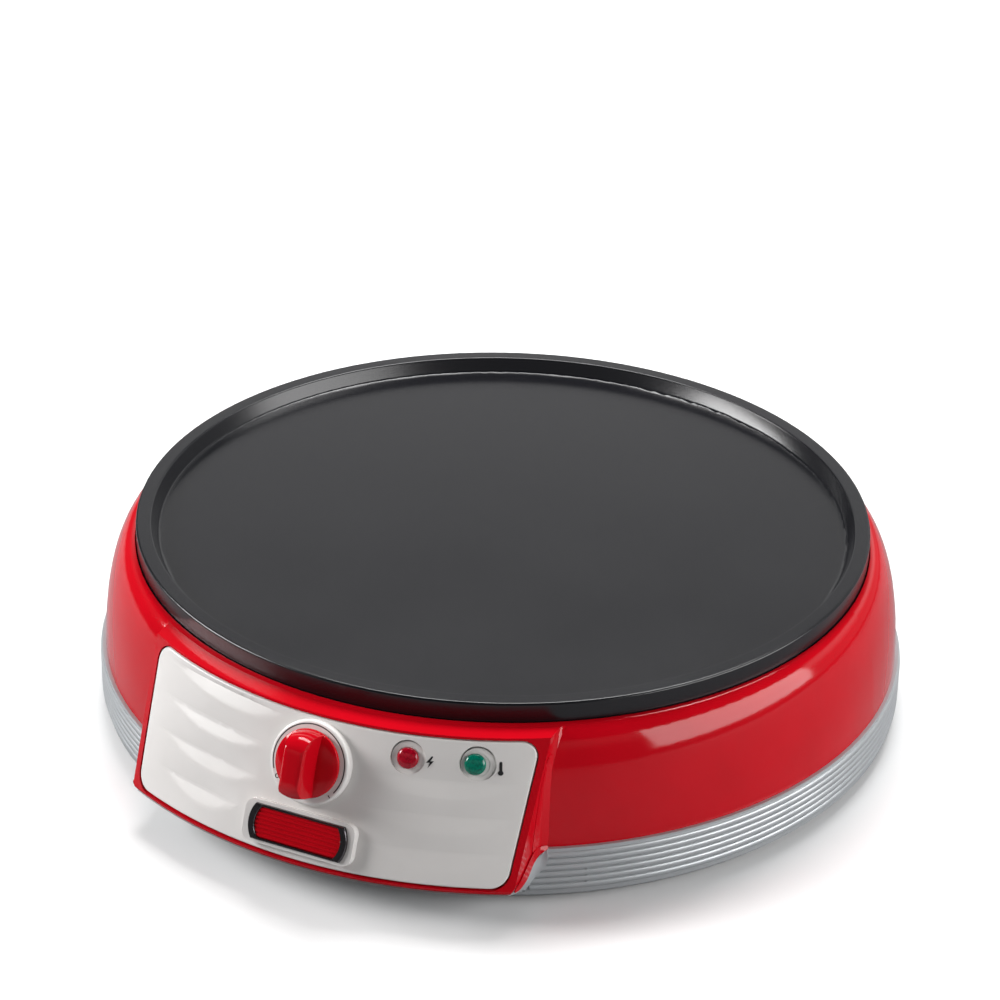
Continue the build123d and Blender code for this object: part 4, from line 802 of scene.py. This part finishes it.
@dataclass
class Print(Assembly):
    """Black print on the panel: the dial's scale and the lamps' marks."""

    dial_out: float = 3.0
    scale_r: float = 14.75
    scale_w: float = 0.42
    scale_from: float = -111.0
    scale_to: float = 125.5
    scale_segments: int = 180
    off_r: float = 14.3
    off_ring: Spot = (0.72, 0.36)
    off_segments: int = 24
    off_angle: float = -124.0
    tick_angle: float = 135.3
    tick_half: Spot = (0.2, 0.6)
    ink: float = 0.04
    bolt_at: Spot = (44.3, 60.9)
    gauge_at: Spot = (69.0, 60.2)

    def lay(self, piece: Piece, place: Matrix) -> None:
        """Finish a flat mark and lay it on the panel.

        Args:
            piece: The mark.
            place: Where it lies.
        """
        piece.thicken(self.ink)
        mark = piece.done(place, smooth=None)
        self.shop.finish(mark, Finish.INK, "cooker")

    def ring(self, name: str, radius: float, width: float, segments: int) -> Piece:
        """Draw a flat ring about the origin.

        Args:
            name: The ring's name.
            radius: Radius of its middle line, in millimetres.
            width: Its width, in millimetres.
            segments: Number of its corners.

        Returns:
            The ring.
        """
        piece = Piece.circle(name, radius - width / 2, segments)
        piece.edit()
        bpy.ops.mesh.select_all(action="SELECT")
        grow = (radius + width / 2) / (radius - width / 2)
        piece.rise(((0.0, grow, grow),))
        piece.outwards()
        return piece

    def up(self, piece: Piece) -> None:
        """Turn a flat mark's faces to look up.

        Args:
            piece: The mark.
        """
        mesh = bmesh.from_edit_mesh(piece.object.data)
        if sum(face.normal.z for face in mesh.faces) < 0:
            bpy.ops.mesh.select_all(action="SELECT")
            bpy.ops.mesh.flip_normals()

    def mark(self, name: str, corners: Sequence[Spot]) -> Piece:
        """Draw a flat mark.

        Args:
            name: The mark's name.
            corners: Its corners in order, in millimetres.

        Returns:
            The mark.
        """
        piece = Piece.outline(name, [(x, y, 0.0) for x, y in corners])
        bpy.ops.mesh.quads_convert_to_tris()
        self.up(piece)
        return piece

    def build(self) -> None:
        """Print every mark."""
        dial = FACE.frame_at(0.0, FACE.dial_z, self.dial_out)
        arc = self.ring("print_scale", self.scale_r, self.scale_w, self.scale_segments)

        def outside(face: bmesh.types.BMFace) -> bool:
            """Whether a face of the ring lies outside the scale."""
            middle = face.calc_center_median()
            return not self.scale_from < degrees(atan2(middle.x, middle.y)) < self.scale_to

        arc.pick(outside)
        bpy.ops.mesh.delete(type="FACE")
        self.up(arc)
        self.lay(arc, dial)
        off = self.ring("print_off", *self.off_ring, self.off_segments)
        self.up(off)
        turn = Matrix.Rotation(-radians(self.off_angle), 4, "Z")
        self.lay(off, dial @ turn @ Matrix.Translation((0.0, self.off_r * MM, 0.0)))
        marks = (("print_power", Mark.BOLT, self.bolt_at), ("print_heat", Mark.GAUGE, self.gauge_at))
        for name, mark, spot in marks:
            self.lay(self.mark(name, mark.value), FACE.frame_at(*spot))
        x, y = self.tick_half
        tick = self.mark("print_tick", ((-x, -y), (-x, y), (x, y), (x, -y)))
        turn = Matrix.Rotation(-radians(self.tick_angle), 4, "Z")
        self.lay(tick, dial @ turn @ Matrix.Translation((0.0, self.scale_r * MM, 0.0)))


@dataclass
class Knob(Assembly):
    """Red control knob: a thin domed flange with a rounded grip across it, in millimetres."""

    back: float = 3.5
    flange_r: float = 12.9
    segments: int = 96
    flange_rise: Steps = (
        (0.25, 1.012, 1.012),
        (0.8, 1.004, 1.004),
        (0.45, 0.985, 0.985),
        (0.35, 0.955, 0.955),
        (0.45, 0.88, 0.88),
        (0.5, 0.75, 0.75),
        (0.4, 0.5, 0.5),
    )
    grip_half: float = 4.75
    grip_foot: float = 1.2
    grip_inset: float = 0.15
    grip_rise: Steps = (
        (3.0, 0.985, 1.0),
        (3.6, 0.975, 0.985),
        (2.6, 0.975, 0.955),
        (1.7, 0.975, 0.92),
        (1.2, 0.965, 0.88),
        (0.7, 0.945, 0.87),
        (0.4, 0.90, 0.88),
        (0.2, 0.80, 0.86),
        (0.08, 0.6, 0.7),
    )

    def flange(self) -> Piece:
        """Turn the flange from a disc."""
        return Piece.turned("knob_flange", self.flange_r, self.segments, self.flange_rise)

    def grip(self) -> Piece:
        """Draw the grip up from a bar with round ends, step by step.

        Returns:
            The grip.
        """
        piece = Piece.circle("knob_grip", self.flange_r - self.grip_inset, self.segments, filled=True)
        piece.edit()
        for side in (-1.0, 1.0):
            bpy.ops.mesh.select_all(action="SELECT")
            spot = (side * self.grip_half * MM, 0.0, 0.0)
            bpy.ops.mesh.bisect(plane_co=spot, plane_no=(side, 0.0, 0.0), clear_outer=True, threshold=CUT)
        bpy.ops.mesh.select_all(action="SELECT")
        bpy.ops.transform.translate(value=(0.0, 0.0, self.grip_foot * MM))
        piece.rise(self.grip_rise)
        piece.outwards()
        return piece

    def build(self) -> None:
        """Model the knob in place of the plain one."""
        place = FACE.frame_at(0.0, FACE.dial_z, self.back)
        parts = [shape().done(place, smooth=30.0) for shape in (self.flange, self.grip)]
        for part in parts:
            self.shop.finish(part, Finish.RED, "knob")
            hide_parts("control_knob")


@dataclass
class Plate(Assembly):
    """Cooking plate whose large faces lead the shading of its turned edges."""

    smooth: float = 40.0

    def build(self) -> None:
        """Model the plate in place of the plain one."""
        plate = Piece.copy("cooking_plate", "plate_turned").done(smooth=self.smooth)
        even = plate.modifiers.new("even", "WEIGHTED_NORMAL")
        even.keep_sharp = True
        bpy.ops.object.modifier_apply(modifier=even.name)
        self.shop.finish(plate, Finish.PLATE, "cooker")
        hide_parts("cooking_plate")


@dataclass
class LampLenses(Assembly):
    """Domed lenses of the two signal lamps and their seats in the panel, in millimetres."""

    radius: float = 4.05
    foot: float = -2.9
    segments: int = 64
    rise: Steps = (
        (2.5, 1.0, 1.0),
        (0.5, 0.97, 0.97),
        (0.4, 0.93, 0.93),
        (0.3, 0.87, 0.87),
        (0.22, 0.78, 0.78),
        (0.12, 0.6, 0.6),
        (0.03, 0.4, 0.4),
    )
    power_at: Spot = (36.0, 61.3)
    heat_at: Spot = (60.1, 61.2)
    seat_r: float = 6.35
    seat_out: float = -1.5
    seat_rise: Steps = ((0.6, 1.0, 1.0), (0.0, 0.7, 0.7), (-0.12, 0.97, 0.97))
    seats_at: tuple[Spot, ...] = ((36.1, 61.25), (61.1, 61.05))

    def build(self) -> None:
        """Model both lenses in place of the plain ones, and their seats."""
        spots = (("power", self.power_at, Finish.RED_LENS), ("heat", self.heat_at, Finish.GREEN_LENS))
        for name, spot, finish in spots:
            piece = Piece.turned(f"{name}_lens_dome", self.radius, self.segments, self.rise)
            dome = piece.done(FACE.frame_at(*spot, out=self.foot), smooth=50.0)
            self.shop.finish(dome, finish, "cooker")
            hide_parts(f"{name}_lamp_lens")
        for place, spot in enumerate(self.seats_at, start=1):
            piece = Piece.turned(f"lamp_seat_{place}", self.seat_r, self.segments, self.seat_rise)
            seat = piece.done(FACE.frame_at(*spot, out=self.seat_out), smooth=30.0)
            self.shop.finish(seat, Finish.WHITE, "cooker")
            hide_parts("control_panel")


# ---- base ring


@dataclass
class BaseRing(Assembly):
    """Silver ring with its turned ribs and its flares beside the control face, in millimetres."""

    wall_r: float = 165.3
    sunk_r: float = 165.0
    bead_out: Spot = (0.04, 0.9)
    bead_z: Spot = (7.0, 22.0)
    bead_turn: float = 2.0
    bush_half: float = 12.0
    valley_r: float = 165.38
    rib_h: float = 0.87
    rib_half: float = 1.27
    rib_steps: int = 8
    rib_round: float = 0.8
    rib_top: float = 21.9
    rib_pitch: float = 2.83
    ribs: int = 6
    band_edge: float = 0.15
    band_in: float = 0.5
    band_out: float = 0.03
    start: float = 28.8
    steps: int = 240
    flare: Pairs = (
        ((85.2, -132.0, 24.55), (85.75, -132.5, 24.5)),
        ((84.2, -133.7, 24.1), (85.85, -132.7, 22.9)),
        ((83.0, -134.5, 23.1), (85.9, -132.7, 21.6)),
        ((81.7, -136.4, 20.9), (85.9, -132.7, 18.7)),
        ((81.55, -139.1, 19.0), (83.9, -134.0, 16.1)),
        ((81.4, -141.3, 16.8), (81.95, -135.2, 13.9)),
        ((81.2, -145.0, 15.6), (79.8, -136.9, 10.2)),
        ((80.0, -150.5, 14.6), (78.9, -139.4, 7.4)),
    )
    curl: Pairs = (
        ((85.0, -131.2, 25.6), (85.35, -131.9, 24.6)),
        ((83.3, -132.9, 26.0), (84.3, -133.8, 24.1)),
        ((82.2, -134.9, 26.2), (83.0, -134.8, 23.1)),
        ((81.85, -137.2, 25.8), (81.85, -136.7, 20.8)),
        ((81.8, -140.0, 24.3), (81.75, -139.3, 18.9)),
        ((81.75, -142.6, 22.5), (81.65, -141.6, 16.6)),
        ((81.65, -146.0, 20.3), (81.5, -145.4, 15.4)),
        ((81.55, -150.0, 18.4), (81.4, -149.6, 15.7)),
        ((81.4, -152.6, 18.0), (81.2, -152.4, 16.4)),
    )
    cove: Pairs = (
        ((81.8, -138.5, 24.4), (84.95, -130.7, 24.4)),
        ((82.1, -137.5, 32.1), (84.95, -130.4, 32.1)),
        ((82.4, -136.6, 39.8), (84.75, -129.9, 39.8)),
        ((82.65, -135.2, 46.7), (84.45, -129.0, 46.7)),
        ((82.9, -133.5, 53.4), (84.15, -127.7, 53.4)),
        ((83.15, -130.5, 59.5), (83.9, -126.3, 59.5)),
        ((83.3, -128.3, 63.0), (83.9, -124.9, 63.0)),
    )
    corner: Point = (81.9, -132.8, 0.0)
    columns: int = 4
    flare_hollow: float = 0.3
    cove_hollow: float = 0.35
    flare_thick: float = -0.5
    red_thick: float = -0.4
    mark_turn: float = 36.4
    mark: tuple[float, float, float] = (0.28, 8.5, 16.6)
    mark_edge: float = 0.08
    mark_thick: float = -0.7
    mark_out: float = 0.45

    def sink(self, piece: Piece) -> None:
        """Press the plain beads of the copied ring below its wall.

        Args:
            piece: The copied ring.
        """
        mesh = bmesh.from_edit_mesh(piece.object.data)
        near, far = (self.wall_r + out for out in self.bead_out)
        low, high = self.bead_z
        for corner in mesh.verts:
            x, y, z = corner.co / MM
            r = hypot(x, y - AXIS_Y)
            turn = degrees(atan2(abs(x), AXIS_Y - y))
            beside = abs(x) > self.bush_half and turn > self.start + self.bead_turn
            if near < r < far and low < z < high and beside:
                corner.co.x = x * self.sunk_r / r * MM
                corner.co.y = (AXIS_Y + (y - AXIS_Y) * self.sunk_r / r) * MM
        bmesh.update_edit_mesh(piece.object.data)

    def profile(self) -> list[Spot]:
        """Draw the rib band's section, from its foot up and back inside.

        Returns:
            The radius and height of each corner.
        """
        low = self.rib_top - (self.ribs - 1) * self.rib_pitch - self.rib_half - self.band_edge
        high = self.rib_top + self.rib_half + self.band_edge
        inner, outer = self.wall_r - self.band_in, self.wall_r + self.band_out
        corners = [(inner, low), (outer, low)]
        for rib in reversed(range(self.ribs)):
            middle = self.rib_top - rib * self.rib_pitch
            for step in range(self.rib_steps + 1):
                angle = radians(-90.0 + 180.0 / self.rib_steps * step)
                bulge = self.rib_h * cos(angle) ** self.rib_round
                corners.append((self.valley_r + bulge, middle + self.rib_half * sin(angle)))
        return [*corners, (outer, high), (inner, high)]

    def rib_band(self) -> Piece:
        """Turn the ribs' section about the ring's axis, clockwise from above.

        Returns:
            The band.
        """
        turn = -radians(self.start)
        corners = [(r * sin(turn), -r * cos(turn), z) for r, z in self.profile()]
        piece = Piece.outline("ring_ribs", corners)
        sweep = radians(360.0 - 2 * self.start)
        bpy.ops.mesh.spin(steps=self.steps, angle=sweep, center=(0.0, 0.0, 0.0), axis=(0.0, 0.0, 1.0))
        piece.outwards()
        return piece

    def strip(self, name: str, pairs: Pairs, side: float, hollow: float) -> Piece:
        """Lay a strip through pairs of points, drawn in towards the ring's corner.

        Args:
            name: The strip's name.
            pairs: Points of its two edges, on the right side.
            side: 1 for the right side, -1 for its mirror image.
            hollow: How far its middle is drawn in, as a share.

        Returns:
            The strip.
        """
        rows = []
        for first, last in pairs:
            row = []
            for column in range(self.columns + 1):
                share = column / self.columns
                spot = Vector(first).lerp(Vector(last), share)
                pull = hollow * sin(pi * share)
                spot.x += (self.corner[0] - spot.x) * pull
                spot.y += (self.corner[1] - spot.y) * pull
                row.append((spot.x * side, spot.y, spot.z))
            rows.append(row if side > 0 else row[::-1])
        return Piece.sheet(name, rows)

    def smooth(self, piece: Piece, thickness: float) -> bpy.types.Object:
        """Round a strip and give it its thickness.

        Args:
            piece: The strip.
            thickness: The thickness in millimetres, negative for inwards.

        Returns:
            The finished strip.
        """
        piece.leave()
        rounding = piece.object.modifiers.new("rounding", "SUBSURF")
        rounding.levels = rounding.render_levels = 2
        bpy.ops.object.modifier_apply(modifier=rounding.name)
        piece.thicken(thickness)
        return piece.done(smooth=40.0)

    def build(self) -> None:
        """Model the ring's wall, ribs, flares and mark, and the red strips beside them."""
        body = Piece.copy("base_ring", "ring_body")
        self.sink(body)
        parts = [body.done(smooth=35.0)]
        centre = Matrix.Translation((0.0, AXIS_Y * MM, 0.0))
        parts.append(self.rib_band().done(centre, smooth=30.0))
        red_strips = (("curl", self.curl, 0.0), ("cove", self.cove, self.cove_hollow))
        for word, side in (("right", 1.0), ("left", -1.0)):
            flare = self.strip(f"ring_flare_{word}", self.flare, side, self.flare_hollow)
            parts.append(self.smooth(flare, self.flare_thick))
            for red_name, pairs, hollow in red_strips:
                strip = self.strip(f"fairing_{red_name}_{word}", pairs, side, hollow)
                red = self.smooth(strip, self.red_thick)
                self.shop.finish(red, Finish.RED, "cooker")
        half, low, high = self.mark
        corners = [(-half, low, 0.0), (half, low, 0.0), (half, high, 0.0), (-half, high, 0.0)]
        bar = Piece.outline("ring_mark", corners)
        bpy.ops.mesh.inset(thickness=self.mark_edge * MM, depth=self.mark_edge * MM)
        bar.thicken(self.mark_thick)
        turn = Matrix.Rotation(radians(self.mark_turn), 4, "Z") @ Matrix.Rotation(radians(90.0), 4, "X")
        out = Matrix.Translation((0.0, 0.0, (self.valley_r + self.mark_out) * MM))
        parts.append(bar.done(centre @ turn @ out))
        for part in parts:
            self.shop.finish(part, Finish.SILVER, "cooker")
        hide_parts("base_ring")
        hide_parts("base_ring")


# ---- studio


@dataclass
class Studio:
    """Floor, lamps, surroundings and camera, in millimetres."""

    azimuth: float = 24.49
    elevation: float = 28.3
    roll: float = 1.18
    distance: float = 1320.03
    aim: Point = (-1.48, 0.0, 83.79)
    focal_px: float = 3224.28
    frame_px: float = 1000.0
    sensor: float = 36.0
    clip: float = 50.0
    lamp_distance: float = 1350.0
    lamp_aim: float = 50.0
    floor_size: float = 24000.0
    floor_fade: Spot = (350.0, 900.0)
    floor_shown: Colour = (0.92, 0.92, 0.92)
    floor_bounce: Colour = (0.26, 0.26, 0.27)
    fill: float = 0.11
    horizon: float = 0.3
    glow: float = 1.2
    horizon_band: Spot = (0.18, 0.38)
    ceiling: float = 0.03
    ceiling_band: Spot = (0.41, 0.51)
    front: float = 0.25
    front_band: Spot = (-0.1, 0.6)
    side: float = 0.2
    side_band: Spot = (-0.75, -0.5)

    def build(self) -> None:
        """Set up everything around the object."""
        self.camera()
        self.floor()
        self.lamps()
        self.world()

    def camera(self) -> None:
        """Stand the camera in front and to the right of the control panel."""
        elevation, roll = radians(self.elevation), radians(self.roll)
        turn = Matrix.Rotation(radians(self.azimuth), 3, "Z")
        forward = Vector((0.0, cos(elevation), -sin(elevation)))
        right = Vector((1.0, 0.0, 0.0))
        up = right.cross(forward)
        tilted_right = right * cos(roll) + up * sin(roll)
        tilted_up = up * cos(roll) - right * sin(roll)
        spot = turn @ (Vector(self.aim) - forward * self.distance) + Vector((0.0, AXIS_Y, 0.0))
        basis = Matrix((turn @ tilted_right, turn @ tilted_up, turn @ -forward)).transposed()
        data = bpy.data.cameras.new("camera")
        data.sensor_width = self.sensor
        data.lens = self.focal_px / self.frame_px * self.sensor
        data.clip_start = self.clip * MM
        camera = bpy.data.objects.new("camera", data)
        camera.matrix_world = Matrix.Translation(spot * MM) @ basis.to_4x4()
        bpy.context.scene.collection.objects.link(camera)
        bpy.context.scene.camera = camera

    def floor(self) -> None:
        """Lay a floor that the camera sees as white, and all other rays as grey.

        It keeps the shadow near the object and glows white far out.
        """
        bpy.ops.object.select_all(action="DESELECT")
        bpy.ops.mesh.primitive_plane_add(size=self.floor_size * MM, location=(0.0, 0.0, 0.0))
        floor = bpy.context.active_object
        floor.name = "floor"
        shader = Shader("floor")
        across, along, _ = shader.axes()
        start, end = self.floor_fade
        far = ((across * across + along * along) ** 0.5).step(start * MM, end * MM)
        seen = shader.node("ShaderNodeLightPath", {}, result=RAYS[0])
        shader.set(
            Base_Color=shader.mix(seen, self.floor_bounce, self.floor_shown),
            Roughness=0.9,
            Emission_Color=shader.mix(far * seen, (0.0, 0.0, 0.0), (1.0, 1.0, 1.0)),
            Emission_Strength=1.0,
        )
        floor.data.materials.append(shader.material)

    def lamp(self, name: str, azimuth: float, elevation: float, size: Spot, watts: float) -> None:
        """Hang one soft lamp that faces the object.

        Args:
            name: The lamp's name.
            azimuth: Its direction from the front, turning to the right, in degrees.
            elevation: Its height over the horizon, in degrees.
            size: Its width and height, in millimetres.
            watts: Its power.
        """
        data = bpy.data.lights.new(name, "AREA")
        data.shape = "RECTANGLE"
        data.size, data.size_y = size[0] * MM, size[1] * MM
        data.energy = watts
        lamp = bpy.data.objects.new(name, data)
        turn, height = radians(azimuth), radians(elevation)
        towards = Vector((sin(turn) * cos(height), -cos(turn) * cos(height), sin(height)))
        lamp.location = (Vector((0.0, AXIS_Y, self.lamp_aim)) + towards * self.lamp_distance) * MM
        lamp.rotation_euler = (-towards).to_track_quat("-Z", "Y").to_euler()
        bpy.context.scene.collection.objects.link(lamp)

    def lamps(self) -> None:
        """Hang the soft lamps."""
        self.lamp("overhead", -168.0, 64.0, (1000.0, 520.0), 22.0)
        self.lamp("left", -66.0, 26.0, (850.0, 380.0), 20.0)
        self.lamp("right", 90.0, 16.0, (1300.0, 620.0), 16.0)

    def world(self) -> None:
        """Show the camera a white room, light the object dimly, and band the reflections."""
        sky = Sky("room")
        x, y, z = sky.axes("Generated")
        slopes = (
            (z, *self.horizon_band, self.horizon, self.glow),
            (z, *self.ceiling_band, 1.0, self.ceiling),
            (y, *self.front_band, self.front, 1.0),
            (x, *self.side_band, self.side, 1.0),
        )
        band = 1.0
        for slope in slopes:
            fade = sky.node("ShaderNodeMapRange", {"interpolation_type": "SMOOTHSTEP"}, *slope)
            band = fade * band
        seen, glossy = (sky.node("ShaderNodeLightPath", {}, result=ray) for ray in RAYS)
        light = sky.node("ShaderNodeMix", {}, Factor=glossy, A=self.fill, B=band)
        sky.set(Strength=seen.math("MAXIMUM", light), Color=(1.0, 1.0, 1.0))
        bpy.context.scene.view_settings.view_transform = "Standard"


# ---- dressing of the CAD nodes

DRESS: dict[Finish, tuple[str, ...]] = {
    Finish.PLATE: ("cooking_plate",),
    Finish.RED: ("body_shell", "control_knob", "badge_insert"),
    Finish.SILVER: ("base_ring",),
    Finish.WHITE: ("control_panel",),
    Finish.CHROME: ("badge_frame",),
    Finish.RED_LENS: ("power_lamp_lens",),
    Finish.GREEN_LENS: ("heat_lamp_lens",),
    Finish.BLACK: ("bottom_cover", "cord_clamp"),
    Finish.RUBBER: ("rubber_feet", "cord_bush"),
    Finish.STEEL: (
        "base_screws", "block_screws", "bracket_screws", "bulb_clip", "bulb_clip_screws",
        "clamp_screws", "earth_screw", "element_clip_screws", "element_clips", "element_tabs",
        "fuse_clip", "fuse_clip_screws", "knob_spring", "plate_screws", "plate_spacers",
        "thermostat_bracket", "thermostat_screws", "thermostat_shaft",
    ),
    Finish.BRIGHT: ("heat_reflector",),
    Finish.ELEMENT: ("heating_element",),
    Finish.COPPER: ("capillary_tube", "sensor_bulb"),
    Finish.BRASS: ("earth_lug", "pole_screws", "thermostat_tabs"),
    Finish.PHENOLIC: ("thermostat_body",),
    Finish.PALE: ("lamp_sockets", "receptacles", "terminal_block", "thermal_fuse"),
    Finish.CERAMIC: ("thermostat_pusher",),
    Finish.GLASS: ("neon_lamps",),
    Finish.SLEEVE_WHITE: ("lamp_wires",),
    Finish.SLEEVE_BROWN: ("line_wire",),
    Finish.SLEEVE_BLACK: ("load_wire",),
    Finish.SLEEVE_BLUE: ("neutral_wire",),
    Finish.SLEEVE_GREEN: ("earth_wire",),
}


def main() -> None:
    """Build the studio and every piece, in order."""
    logging.basicConfig(level=logging.INFO, format="%(name)s: %(message)s")
    Studio().build()
    workshop = Workshop()
    for finish, nodes in DRESS.items():
        for node in nodes:
            workshop.dress(node, finish)
    for assembly in (Plate, BaseRing, ControlPanel, Print, LampLenses, Knob):
        assembly(workshop).build()


if __name__ == "__main__":
    main()
